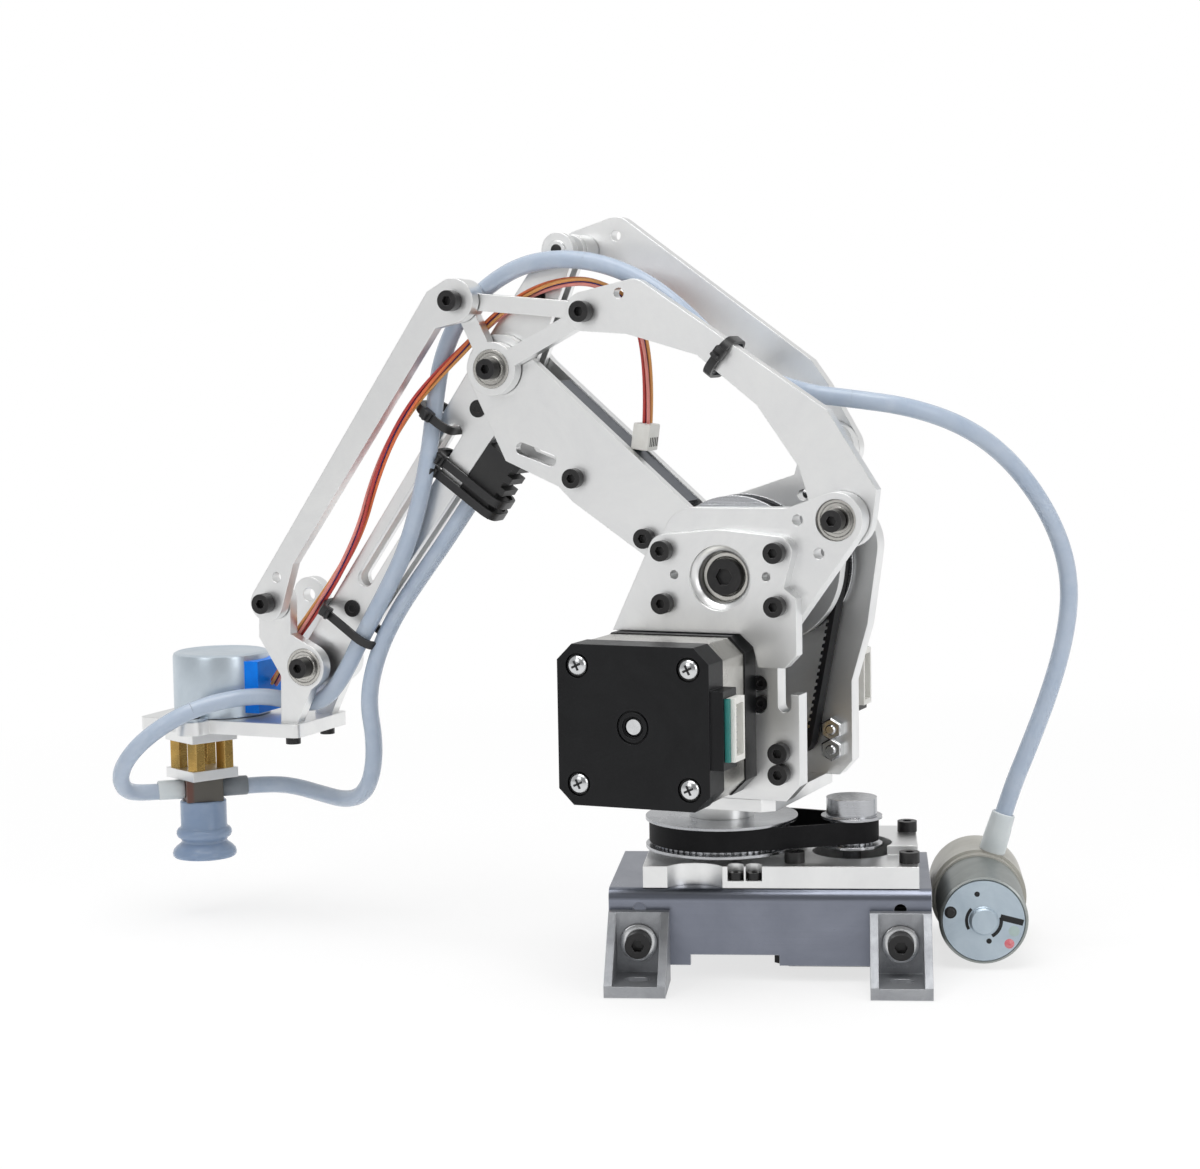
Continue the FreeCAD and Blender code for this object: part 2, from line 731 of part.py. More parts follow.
sill = floor_top
motor_face = square_ring(motor, size("motor_pitch"))
tie_points = [shift(shoulder, 15.0, -46.5), shift(shoulder, 15.0, -52.2)]
post_points = [shift(shoulder, 6.1, -48.6), (wall_left + 6, sill + 6)]
ear_radius = 7.3
cap_corner = (size("cap_screw_pitch_x") / 2, size("cap_screw_pitch_z") / 2)
cap_screws = [shift(shoulder, sx * cap_corner[0], sz * cap_corner[1]) for sx in (-1, 1) for sz in (-1, 1)]
side_holes = [(shoulder, "Sizes.bearing_outer"), (motor, "Sizes.motor_pilot_dia + 2 * Sizes.fit_gap")]
side_holes += [(point, "Sizes.screw_dia") for point in motor_face + tie_points + post_points + cap_screws]
front_outline = [
    (wall_left, sill, 0),
    (wall_right - 3.8, sill, 0),
    (wall_right, sill + 4.2, 0),
    corner(shoulder, 20.3, -31.0),
    corner(shoulder, 18.0, -31.0),
    disc(shift(shoulder, 16.2, -34.0), -1.8),
    corner(shoulder, 14.4, -19.4),
    disc(ear, ear_radius),
    corner(shoulder, 17.3, 18.4),
    disc(shift(shoulder, -9.0, 9.3), 9.0),
    (wall_left, shoulder[1] - 22.0, 0),
]
ear_holes = [(ear, "Sizes.pivot_bearing_outer")]
ear_holes += [(shift(ear, -10.5, -0.1), "Sizes.screw_dia"), (shift(ear, -4.7, -8.8), "Sizes.screw_dia")]
front_side = plate("front_side_plate", wrap(front_outline), "Sizes.side_thick", upright(-size("front_gap")),
                   holes=side_holes + ear_holes)
pocket_points = [shift(shoulder, 8.9, -28.5), shift(shoulder, 8.9, -33.9)]
add_pocket(front_side, pill(*pocket_points, 2.4), lift="Sizes.side_thick / 2")
back_outline = [
    (wall_left, sill, 0),
    (wall_right - 3.8, sill, 0),
    (wall_right, sill + 4.2, 0),
    corner(shoulder, 20.3, -33.0),
    corner(shoulder, 25.0, -17.0),
    disc(shift(shoulder, 14.5, 5.0), 13.6),
    disc(shift(shoulder, -9.0, 9.3), 9.0),
    (wall_left, shoulder[1] - 22.0, 0),
]
plate("back_side_plate", wrap(back_outline), "Sizes.side_thick", upright(side_back), holes=side_holes)

motor_roof = motor[1] + size("motor_side") / 2 + size("free_gap")
cap_outline = [
    (shoulder[0] - 31.0, motor_roof, 0),
    (shoulder[0] + 5.5, motor_roof, 0),
    corner(shoulder, 9.2, -18.0),
    corner(shoulder, 10.5, -23.4),
    corner(shoulder, 18.0, -23.4),
    corner(shoulder, 21.3, -20.0),
    corner(shoulder, 21.3, -5.0),
    corner(shoulder, 17.8, -2.2),
    disc(cap_screws[3], 4.3),
    disc(shoulder, 12.8),
    disc(cap_screws[1], 4.3),
]
cap_wire = Part.Wire([edge.toShape() for edge in wrap(cap_outline)])
cap_plate = Part.Face(cap_wire).extrude(Vector(0, 0, size("cap_thick")))
window = put(cylinder(size("cap_window"), size("cap_thick")), *shoulder, 0)
dowels = [put(cylinder(size("screw_dia") * 0.8, size("cap_thick")), *shift(shoulder, dx, 0.6), 0)
          for dx in (-13.0, 13.0)]
bores = [put(cylinder(size("screw_dia"), size("cap_thick")), *point, 0) for point in cap_screws]
cap_plate = cap_plate.cut([window] + dowels + bores)
group("bearing_plates", [put(cap_plate, 0, side_front, 0, FACE_FRONT),
                         put(cap_plate, 0, cap_back, 0, FACE_FRONT)], TURRET)

ear_race = ball_race(size("pivot_bearing_outer"), size("pivot_dia"), size("link_thick"))
group("side_plate_bearings", [
    put(race, shoulder[0], -size("front_gap"), shoulder[1], FACE_FRONT),
    put(race, shoulder[0], size("back_gap") + size("bearing_width"), shoulder[1], FACE_FRONT),
    put(ear_race, ear[0], -size("front_gap") - 1.0, ear[1], FACE_FRONT),
], TURRET)

cap_grip = size("cap_thick") + size("side_thick")
plate_screws = []
for point in cap_screws:
    plate_screws.append(put(small_screw(cap_grip), point[0], cap_front, point[1], FACE_FRONT))
    plate_screws.append(put(small_screw(cap_grip), point[0], cap_back, point[1], FACE_BACK))
for point in tie_points:
    plate_screws.append(across(small_screw(size("side_thick")), point, side_front))
    plate_screws.append(across(small_screw(size("side_thick")), point, size("back_gap")))
pocket_floor = -size("front_gap") - size("side_thick") / 2
plate_screws += [across(cap_screw(4.0, 1.8, 0.0, 0.0), point, pocket_floor) for point in pocket_points]
post = cylinder(size("standoff_dia"), size("front_gap") + size("back_gap"))
group("plate_standoffs", [put(post, x, size("back_gap"), z, FACE_FRONT) for x, z in post_points], TURRET)

# Shoulder and forearm motors: rear cover, stator, front bell and connector each.
motor_wire = Part.Face(Part.Wire([edge.toShape() for edge in motor_square(size("motor_side"))]))
stator_wire = Part.Face(Part.Wire([edge.toShape() for edge in motor_square(size("motor_side") - 0.6)]))
bore_d = size("motor_shaft_dia") + 4 * size("fit_gap")
cover_len = size("cover_length")
stator_len = size("stator_length")
bell_len = size("bell_length")
motor_length = cover_len + stator_len + bell_len
through = cylinder(bore_d, motor_length + 2 * size("side_thick"), -size("side_thick"))
bell = motor_wire.extrude(Vector(0, 0, bell_len)).fuse(
    cylinder(size("motor_pilot_dia"), size("motor_pilot_height"), -size("motor_pilot_height")))
bell = bell.cut(through)
stator = put(stator_wire.extrude(Vector(0, 0, stator_len)), 0, 0, bell_len).cut(through)
cover = put(motor_wire.extrude(Vector(0, 0, cover_len)), 0, 0, bell_len + stator_len)
cover = cover.cut([cylinder(size("cover_boss_dia"), 0.8, motor_length - 0.8), through])
cover = cover.fuse(ring(size("cover_boss_dia") - 1.2, size("cover_bore_dia"), 0.8, motor_length - 0.8))
screw_pockets = [put(cylinder(size("screw_head_dia") + 1.0, 1.2), x, y, motor_length - 1.2)
                 for x, y in square_ring((0, 0), size("motor_pitch"))]
half_side = size("motor_side") / 2
plug_x = half_side + size("connector_bulge") - size("connector_reach") / 2
plug_y = size("connector_length") / 2
plug_base = bell_len + stator_len
bulge = Part.makeBox(size("connector_bulge") + 1.0, 2 * plug_y + 4.0, cover_len - 0.6,
                     Vector(half_side - 1.0, -plug_y - 2.0, plug_base))
cover = cover.fuse(bulge).removeSplitter()
plug_slot = Part.makeBox(size("connector_reach"), 2 * plug_y, size("connector_depth"),
                         Vector(plug_x, -plug_y, plug_base))
cover = cover.cut(screw_pockets + [plug_slot])
plug_room = Part.makeBox(size("connector_reach"), 2 * plug_y - 3, size("connector_depth") - 2,
                         Vector(plug_x + 1.2, -plug_y + 1.5, plug_base + 1))
plug = plug_slot.cut(plug_room)
motor_places = [(side_front, FACE_FRONT), (side_back, FACE_BACK)]


def on_motors(shape):
    """The same piece on the front and the back motor."""
    return [put(shape, motor[0], y, motor[1], turn) for y, turn in motor_places]


group("motor_covers", on_motors(cover) + on_motors(bell), TURRET)
group("motor_stators", on_motors(stator), TURRET)
group("motor_connectors", on_motors(plug), TURRET)
for point in motor_face:
    flush = cylinder(size("screw_dia"), size("side_thick"))
    plate_screws.append(across(flush, point, -size("front_gap")))
    plate_screws.append(across(flush, point, side_back))
for x, z in square_ring((0, 0), size("motor_pitch")):
    plate_screws += on_motors(put(cylinder(size("screw_head_dia"), 1.0), x, z, motor_length - 1.2))
group("turret_screws", plate_screws, TURRET)

# Motor pulleys and the two belts that run up to the shoulder axis.
shoulder_pulley_back = -arm_outer - size("layer_gap")
shoulder_pulley_front = shoulder_pulley_back - pulley_height
crank_pulley_back = crank_back + pulley_height
shaft_bite = 10.0
toothed("shoulder_motor_pulley", size("small_teeth"), size("motor_shaft_dia") / 2,
        TURRET * Placement(Vector(motor[0], shoulder_pulley_back, motor[1]), FACE_FRONT),
        shaft=(0, shoulder_pulley_back - side_front + shaft_bite))
toothed("crank_motor_pulley", size("small_teeth"), size("motor_shaft_dia") / 2,
        TURRET * Placement(Vector(motor[0], crank_back, motor[1]), FACE_BACK),
        shaft=(0, side_back - crank_back + shaft_bite))
belt_inset = (pulley_height - size("belt_width")) / 2
belt("shoulder_belt", shoulder, motor, upright(shoulder_pulley_back - belt_inset))
belt("crank_belt", shoulder, motor, upright(crank_pulley_back - belt_inset), post_points[:1])

# Upper arm: two plates on the shoulder shaft, a cross strip and a lower block between them.
toothed("shoulder_pulley", size("big_teeth"), shaft_r,
        TURRET * Placement(Vector(shoulder[0], shoulder_pulley_back, shoulder[1]), FACE_FRONT))
shaft_front = size("front_gap") + size("bearing_width") - size("fit_gap")
turned("shoulder_shaft", [(0, -size("back_gap") - size("bearing_width")),
                          (size("shaft_tail_dia") / 2, -size("back_gap") - size("bearing_width")),
                          (size("shaft_tail_dia") / 2, -arm_outer), (shaft_r, -arm_outer),
                          (shaft_r, size("front_gap") - size("free_gap")),
                          (shaft_r - size("fit_gap"), size("front_gap") - size("free_gap")),
                          (shaft_r - size("fit_gap"), shaft_front), (0, shaft_front)],
       TURRET * Placement(Vector(shoulder[0], 0, shoulder[1]), FACE_FRONT))
arm_items = [
    disc(shoulder, 15.0),
    corner(shoulder, -13.0, 14.2),
    corner(elbow, 11.4, 1.9),
    disc(elbow, 9.6),
    corner(elbow, 1.9, -25.9),
    corner(elbow, 18.1, -33.0),
    corner(elbow, 22.5, -37.3),
    corner(shoulder, -29.1, 3.1),
]
arm_bolts = [shift(elbow, 23.2, -30.6), shift(shoulder, -29.3, 8.5)]
arm_slot = pill(shift(elbow, 6.8, -22.4), shift(elbow, 15.8, -25.6), 1.7)
arm_holes = [(shoulder, "Sizes.shaft_dia"), (elbow, "Sizes.pivot_dia")]
arm_holes += [(point, "Sizes.screw_dia") for point in arm_bolts]
half_gap = size("arm_half_gap")
plate_pair("arm_plates", wrap(arm_items), "Sizes.arm_plate", (-half_gap, arm_outer), arm_holes, [arm_slot])
strip_start = shift(elbow, 16.9, -3.6)
strip_end = shift(shoulder, -18.5, 18.6)
lean = math.atan2(strip_end[1] - strip_start[1], strip_end[0] - strip_start[0])
drop = (math.sin(lean) * size("strip_thick"), -math.cos(lean) * size("strip_thick"))
strip = wrap([corner(strip_start, *drop), corner(strip_end, *drop), corner(strip_end), corner(strip_start)])
block = wrap([disc(arm_bolts[0], 4.0), disc(arm_bolts[1], 4.0)])

block_solid = slab(block, -half_gap, half_gap)
block_solid = block_solid.cut([across(cylinder(size("screw_dia"), 2 * half_gap), point, half_gap)
                               for point in arm_bolts])
group("arm_cross_pieces", [slab(strip, -half_gap, half_gap), block_solid], TURRET)
arm_grip = 2 * arm_outer - 1.0
play = size("free_gap")
arm_screws = [across(small_screw(arm_grip), point, -arm_outer) for point in arm_bolts]
arm_screws.append(across(pivot_screw(-tri_front + play + arm_outer), elbow, tri_front - play))
end_cap = cap_screw(size("shaft_dia") - size("free_gap"), 2.6, 0.0, 0.0)
arm_screws.append(across(end_cap, shoulder, -shaft_front))
group("arm_screws", arm_screws, TURRET)

# Crank on the shoulder axis that drives the forearm from behind.
crank_items = [disc(shoulder, 21.5), disc(crank_pin, 7.5), corner(shoulder, 8.5, 25.4)]
plate("crank_lever", wrap(crank_items), "Sizes.link_thick", upright(crank_back),
      [(shoulder, "Sizes.shaft_dia"), (crank_pin, "Sizes.pivot_dia"),
       (shift(shoulder, 10.9, 19.9), "Sizes.screw_dia")])
toothed("crank_pulley", size("big_teeth"), shaft_r,
        TURRET * Placement(Vector(shoulder[0], crank_back, shoulder[1]), FACE_BACK))
tube = ring(size("shaft_dia"), size("shaft_tail_dia") + 2 * size("fit_gap"), crank_pulley_back - crank_front)
tail = ring(size("shaft_dia") - 2 * size("fit_gap"), size("shaft_tail_dia") + 2 * size("fit_gap"),
            size("back_gap") + size("bearing_width") - crank_pulley_back)
tube = put(tube, 0, 0, 0).fuse(put(tail, 0, 0, crank_pulley_back - crank_front)).removeSplitter()
stud = cylinder(size("pivot_dia"), drive_back + play - crank_front)
stud = stud.fuse(cylinder(size("pivot_head_dia"), 3.0, drive_back + play - crank_front))
group("crank_fittings", [across(tube, shoulder, crank_front, FACE_BACK),
                         across(stud, crank_pin, crank_front, FACE_BACK)], TURRET)

# Levelling rod from the ear of the turret to the elbow link.
level_items = [
    disc(ear, 8.0),
    corner(ear, 9.1, 7.6),
    corner(ear, -4.4, 28.5),
    disc(shift(level_end, 14.5, 3.5), 5.0),
    disc(level_end, 5.4),
    corner(level_end, 12.6, -6.3),
    corner(level_end, 32.9, -12.2),
    corner(ear, -24.0, 29.9),
    corner(ear, -12.1, 13.2),
]
plate("level_rod", wrap(level_items), "Sizes.link_thick", upright(rod_back),
      [(ear, "Sizes.pivot_dia"), (level_end, "Sizes.pivot_dia + 2 * Sizes.fit_gap"),
       (shift(level_end, 10.4, 4.7), "Sizes.screw_dia")])
ear_screw = pivot_screw(rod_back - side_front + play)
ear_screw = ear_screw.cut(ring(9.0, size("pivot_dia") - 2 * size("fit_gap"), size("side_thick") + play,
                               -size("side_thick") - play))
group("level_rod_screw", [across(ear_screw, ear, side_front - play)], TURRET)
group("level_pin", [across(pivot_screw(tri_back - rod_front + play), level_end, rod_front - play)], TURRET)

# Elbow link: a triangle of three bars that stays level.
rib = size("rib_half")
elbow_link_bars = [wrap([disc(link_top, 2.4), disc(level_end, 2.4)]),
                   wrap([disc(elbow, rib), disc(link_top, rib)]),
                   wrap([disc(elbow, rib), disc(level_end, rib)])]
elbow_link_ends = [[Part.Circle(Vector(*point, 0), Z_AXIS, radius)]
                   for point, radius in ((link_top, 6.0), (level_end, 5.2))]
plate("elbow_link", [Part.Circle(Vector(*elbow, 0), Z_AXIS, 7.5)], "Sizes.link_thick", upright(tri_back),
      [(elbow, "Sizes.pivot_bearing_outer"), (link_top, "Sizes.pivot_dia"),
       (level_end, "Sizes.pivot_dia + 2 * Sizes.free_gap")], more=elbow_link_bars + elbow_link_ends)
link_race = ball_race(size("pivot_bearing_outer"), size("pivot_dia") + 2 * size("fit_gap"),
                      size("link_thick"))
link_screw = pivot_screw(tri_back - rod_front + play)
group("elbow_fittings", [across(link_race, elbow, tri_back),
                         across(link_screw, link_top, rod_front - play)], TURRET)

# Forearm: two thin plates with spacers between them; it runs on past the elbow to the crank rod.
fore_items = [disc(wrist, 6.5), disc(elbow, 8.8), disc(lever_pin, 4.4), disc(elbow, 8.8)]


def along(distance, offset):
    """A point beside the forearm: distance from the elbow, offset to its right side."""
    turn = math.radians(size("fore_angle"))
    dx = distance * math.cos(turn) - offset * math.sin(turn)
    dz = distance * math.sin(turn) + offset * math.cos(turn)
    return shift(elbow, dx, dz)


fore_slot = pill(along(24, -2.2), along(76, -1.6), size("fore_slot_width") / 2)
spacer_points = [along(14, 0), along(86, 0), shift(elbow, 11.0, 20.0)]
fore_holes = [(wrist, "Sizes.pivot_dia"), (elbow, "Sizes.pivot_dia + 2 * Sizes.fit_gap"),
              (lever_pin, "Sizes.pivot_dia + 2 * Sizes.fit_gap")]
fore_holes += [(point, "Sizes.screw_dia") for point in spacer_points]
fore_half = size("fore_half")
inner_half = fore_half - size("fore_plate")
plate_pair("forearm_plates", wrap(fore_items), "Sizes.fore_plate", (-inner_half, fore_half),
           fore_holes, [fore_slot])
spacer = ring(6.0, size("screw_dia"), 2 * inner_half)
fore_fasteners = [across(spacer, point, inner_half) for point in spacer_points]
fore_fasteners += [across(cap_screw(5.0, 0.4, size("screw_dia"), 2 * fore_half - 0.5), point, -fore_half)
                   for point in spacer_points]
wrist_spacer = ring(8.0, size("pivot_dia"), arm_outer + size("layer_gap") - play - fore_half)
fore_fasteners += [across(wrist_spacer, wrist, -fore_half), across(wrist_spacer, wrist, fore_half, FACE_BACK)]
fore_fasteners.append(across(ring(8.0, size("pivot_dia"), 2 * inner_half), wrist, inner_half))
fore_fasteners.append(across(pivot_screw(2 * (-tri_front + play)), wrist, tri_front - play))
fore_fasteners.append(across(ring(7.0, size("pivot_dia"), 3.2), wrist, -tri_front + play, FACE_BACK))
group("forearm_fasteners", fore_fasteners, TURRET)
lever_screw = cap_screw(5.0, 2.6, size("pivot_dia"), fore_half + drive_back + 2 * play)
lever_screw = lever_screw.fuse(ring(9.6, 4.0, 1.8)).removeSplitter()
lever_sleeve = ring(9.0, size("pivot_dia"), drive_front - fore_half - 2 * play)
lever_nut = ring(7.0, size("pivot_dia"), 3.0)
group("lever_pin", [across(lever_screw, lever_pin, -fore_half - play),
                    across(lever_sleeve, lever_pin, fore_half + play, FACE_BACK),
                    across(lever_nut, lever_pin, drive_back + play, FACE_BACK)], TURRET)

# Forearm link in front, which keeps the wrist level.
link_items = [
    disc(link_top, 6.2),
    corner(link_top, -8.0, 2.6),
    disc(link_low, 5.3),
    corner(link_low, 9.3, 11.6),
    corner(link_top, -5.6, -7.6),
]
plate("fore_link", wrap(link_items), "Sizes.link_thick", upright(rod_back),
      [(link_top, "Sizes.pivot_dia + 2 * Sizes.fit_gap"), (link_low, "Sizes.pivot_dia + 2 * Sizes.free_gap"),
       (shift(link_low, 3.6, 7.6), "Sizes.screw_dia")])

# Drive rod from the crank to the forearm's rear end.
drive_items = [
    disc(crank_pin, 7.5),
    corner(crank_pin, -1.4, 17.4),
    corner(crank_pin, -6.2, 24.0),
    disc(shift(lever_pin, 9.7, 4.1), 5.3),
    corner(lever_pin, -4.0, 5.5),
    corner(lever_pin, -14.1, -1.5),
    corner(lever_pin, -10.6, -5.5),
    corner(lever_pin, 7.4, -2.1),
    corner(crank_pin, -13.8, 14.4),
]
plate("drive_rod", wrap(drive_items), "Sizes.link_thick", upright(drive_back),
      [(crank_pin, "Sizes.pivot_dia + 2 * Sizes.free_gap"),
       (lever_pin, "Sizes.pivot_dia + 2 * Sizes.fit_gap"),
       (shift(lever_pin, 9.7, 4.1), "Sizes.screw_dia")])

# Wrist: two plates that carry the tool bracket.
bracket_top = wrist[1] - size("bracket_drop")
wrist_items = [
    (wrist[0] - 8.2, bracket_top, 0),
    (wrist[0] - 2.6, bracket_top, 0),
    corner(wrist, 2.2, -6.6),
    disc(wrist, 6.6),
    corner(wrist, -4.2, 9.6),
    disc(link_low, 5.3),
    corner(wrist, -14.8, 8.4),
    corner(wrist, -7.8, -2.8),
]
wrist_holes = [(wrist, "Sizes.pivot_bearing_outer"), (link_low, "Sizes.pivot_dia")]
plate_pair("wrist_plates", wrap(wrist_items), "Sizes.link_thick", (tri_back, crank_back), wrist_holes)
bracket_bottom = bracket_top - size("bracket_thick")
can_axis = (wrist[0] - size("can_offset"), 0.0)
tool_axis = (can_axis[0] - size("tool_offset"), 0.0)
bracket_screw = cap_screw(4.4, 2.4, 2.2, size("bracket_thick"))
wrist_mid = (tri_back + tri_front) / 2
bracket_points = [(wrist[0] - 5.4, wrist_mid), (wrist[0] - 5.4, -wrist_mid)]
ear_points = [(can_axis[0], side * size("ear_pitch") / 2) for side in (-1, 1)]
ear_screw = cap_screw(size("screw_head_dia"), 2.0, size("screw_dia"),
                      size("bracket_thick") + size("ear_thick"))
group("wrist_fittings", [across(link_race, wrist, tri_back), across(link_race, wrist, crank_back),
                         across(link_screw, link_low, rod_front - play)]
      + [put(bracket_screw, x, y, bracket_bottom, FACE_DOWN) for x, y in bracket_points]
      + [put(ear_screw, x, y, bracket_top + size("ear_thick")) for x, y in ear_points], TURRET)
ears = wrap([disc(ear_points[0], size("ear_radius") + 1.0), disc(ear_points[1], size("ear_radius") + 1.0)])
bracket_half = size("bracket_half")
bracket_shape = wrap([(can_axis[0] - 18.0, -bracket_half, 2.0), (wrist[0] - 3.0, -bracket_half, 2.0),
                      (wrist[0] - 3.0, bracket_half, 2.0), (can_axis[0] - 18.0, bracket_half, 2.0)])
plate("tool_bracket", bracket_shape, "Sizes.bracket_thick", level(bracket_bottom),
      [(tool_axis, "Sizes.motor_shaft_dia * 2")] + [(point, "Sizes.screw_dia") for point in ear_points]
      + [(point, "2.2") for point in bracket_points], more=[ears])
can = doc.addObject("PartDesign::Body", "tool_motor")
add_pad(can, [Part.Circle(Vector(*can_axis, 0), Z_AXIS, size("can_dia") / 2)], "Sizes.can_height")
add_pad(can, wrap([disc(point, size("ear_radius")) for point in ear_points]), "Sizes.ear_thick")
add_holes(can, [(point, "Sizes.screw_dia") for point in ear_points])
add_holes(can, [(tool_axis, "Sizes.motor_shaft_dia + 2 * Sizes.fit_gap")], "Sizes.can_height / 3")
can.Placement = level(bracket_top)
keep(can, "tool_motor")
cover_half = size("cover_width") / 2
reach = size("cover_reach")
cover_body = doc.addObject("PartDesign::Body", "tool_motor_cover")
add_pad(cover_body, box_outline(can_axis[0] + 4.0, can_axis[0] + reach, -cover_half, cover_half),
        "Sizes.cover_height")
add_pocket(cover_body, [Part.Circle(Vector(*can_axis, 0), Z_AXIS, size("can_dia") / 2)])
cover_body.Placement = level(bracket_top + 1.5)
keep(cover_body, "tool_motor_cover")

# Tool: a turning head of two plates and four standoffs, a vacuum block and a bellows cup.
tool_top = bracket_bottom - size("layer_gap")
TOOL = TURRET * Placement(Vector(*tool_axis, 0), Rotation(Z_AXIS, size("tool_angle")))
HEAD = TOOL * Placement(Vector(0, 0, 0), Rotation(Z_AXIS, size("head_angle")))
tool_half = size("tool_plate_side") / 2
flat = box_outline(-tool_half, tool_half, -tool_half, tool_half)
top_low = tool_top - size("tool_top_thick")
pillar_low = top_low - size("standoff_height")
bottom_low = pillar_low - size("tool_bottom_thick")
block_low = bottom_low - size("block_height")
tool_head = doc.addObject("PartDesign::Body", "tool_top_plate")
add_pad(tool_head, flat, "Sizes.tool_top_thick")
add_pad(tool_head, [Part.Circle(Vector(0, 0, 0), Z_AXIS, size("motor_shaft_dia") / 2)],
        "Sizes.tool_top_thick + Sizes.layer_gap + Sizes.bracket_thick + Sizes.can_height / 4")
tool_head.Placement = HEAD * Placement(Vector(0, 0, top_low), Rotation())
keep(tool_head, "tool_top_plate")
plate("tool_bottom_plate", flat, "Sizes.tool_bottom_thick",
      HEAD * Placement(Vector(0, 0, bottom_low), Rotation()))
hexagon = [Vector(*polar(size("standoff_across") / math.sqrt(3), 60 * i), 0) for i in range(7)]
pillar = Part.Face(Part.makePolygon(hexagon)).extrude(Vector(0, 0, size("standoff_height")))
pillar_points = square_ring((0, 0), size("standoff_pitch"))
group("brass_standoffs", [put(pillar, x, y, pillar_low) for x, y in pillar_points], HEAD)
block_half = size("block_side") / 2
barb_r = size("barb_dia") / 2
barb_len = size("barb_length")
barb_points = [(0, 0), (barb_r, 0), (barb_r, barb_len * 0.3), (barb_r * 1.25, barb_len * 0.3),
               (barb_r, barb_len * 0.6), (barb_r * 1.25, barb_len * 0.6), (barb_r * 0.9, barb_len),
               (0, barb_len)]
barb_face = Part.Face(Part.makePolygon([Vector(r, 0, h) for r, h in barb_points + barb_points[:1]]))
barb = barb_face.revolve(Vector(0, 0, 0), Z_AXIS, 360)
vacuum = Part.makeBox(2 * block_half, 2 * block_half, size("block_height"),
                      Vector(-block_half, -block_half, 0))
middle = size("block_height") / 2
vacuum = vacuum.fuse([put(barb, -block_half, 0, middle, Rotation(Vector(0, 1, 0), -90)),
                      put(barb, block_half, 0, middle, Rotation(Vector(0, 1, 0), 90))])
group("vacuum_block", [put(vacuum, 0, 0, block_low)], TOOL)
tall = size("cup_height")
neck_r = size("cup_neck_dia") / 2
bellow_r = size("cup_bellow_dia") / 2
lip_r = size("cup_lip_dia") / 2
wall = size("cup_wall")
cup_section = wrap([
    (lip_r - 2.0, -tall, 0),
    (lip_r - 1.0, -tall + 1.0, 1.0),
    (neck_r + 0.6, -tall * 0.69, -0.7),
    (bellow_r - 1.9, -tall * 0.53, 1.9),
    (neck_r + 0.8, -tall * 0.36, -0.7),
    (neck_r, -tall * 0.30, 0),
    (neck_r, 0, 0),
    (2.0, 0, 0),
    (2.0, -tall * 0.42, 0),
    (bellow_r - 2 * wall, -tall * 0.56, 0),
    (neck_r - wall, -tall * 0.72, 0),
])
turned_outline("suction_cup", cup_section, TOOL * Placement(Vector(0, 0, block_low), Rotation()))

# Vent valve strapped to the forearm's inner edge.
valve_low = size("valve_along") - size("valve_length") / 2
valve_high = size("valve_along") + size("valve_length") / 2
fore_edge = 8.4
valve_top = fore_edge + size("valve_height")
valve_items = [corner(along(valve_low, fore_edge)), corner(along(valve_high, fore_edge))]
fin = size("valve_length") / 9
for step in range(9):
    fin_top = valve_top - size("valve_groove") * (step % 2)
    valve_items.append(corner(along(valve_high - step * fin, fin_top)))
    valve_items.append(corner(along(valve_high - (step + 1) * fin, fin_top)))
valve_half = half_gap - size("free_gap")
group("vent_valve", [slab(wrap(valve_items), -valve_half, valve_half)], TURRET)

# Vacuum pump: a small motor with its diaphragm head, lying beside the base.
pump_x = size("base_width") / 2 + size("pump_gap") + size("pump_head_dia") / 2
pump_z = size("pump_head_dia") / 2
pump_r = size("pump_motor_dia") / 2
pump_len = size("pump_motor_length")
boss_r = size("cover_boss_dia") / 2
PUMP = Placement(Vector(pump_x, size("pump_front") + pump_len, pump_z), FACE_FRONT)
turned("pump_motor", [(0, 0), (pump_r, 0), (pump_r, pump_len - 1.2), (pump_r - 0.8, pump_len - 0.4),
                      (boss_r, pump_len - 0.4), (boss_r, pump_len + 1.2), (boss_r - 1.6, pump_len + 1.2),
                      (boss_r - 1.6, pump_len + 0.4), (0, pump_len + 0.4)], PUMP)
head_r = size("pump_head_dia") / 2
head_len = size("pump_head_length")
head_solid = cylinder(2 * head_r, head_len - 3.0, -head_len).fuse(
    cylinder(2 * head_r - 1.6, 3.0, -3.0))
nozzle = ring(size("nozzle_dia"), size("hose_dia") / 2, head_r + size("nozzle_length"))
nozzle = put(nozzle, 0, 0, -size("nozzle_reach"),
             Rotation(Vector(0, 0, 1), -size("nozzle_lean")) * FACE_BACK)
nozzle = nozzle.cut(cylinder(head_r, head_len, -head_len))
group("pump_head", [head_solid.fuse(nozzle)], PUMP)

# Hoses and wires as routes of chosen points, in the turret frame at rest.
HOSE_TO_ARM = [
    (67.2, 46.8, 35.4), (69.6, 47.9, 44.0), (74.6, 50.4, 57.4), (79.6, 52.4, 71.8),
    (83.6, 53.4, 86.6), (85.4, 52.8, 100.4), (84.0, 50.0, 113.2), (79.2, 44.0, 126.8),
    (71.2, 35.6, 138.4), (59.4, 26.2, 147.2), (46.4, 16.2, 152.6), (35.2, 7.6, 155.4),
]
HOSE_OVER_ELBOW = [
    (34.9, 7.4, 155.5), (25.6, 0.6, 157.8), (14.6, -5.6, 162.6), (4.6, -9.0, 170.2),
    (-6.6, -9.6, 181.6), (-19.6, -9.9, 190.6), (-34.0, -10.0, 195.2), (-48.6, -9.8, 195.4),
    (-62.4, -5.8, 191.4), (-75.0, -4.6, 182.2), (-81.8, -5.0, 168.6), (-83.6, -6.3, 155.4),
]
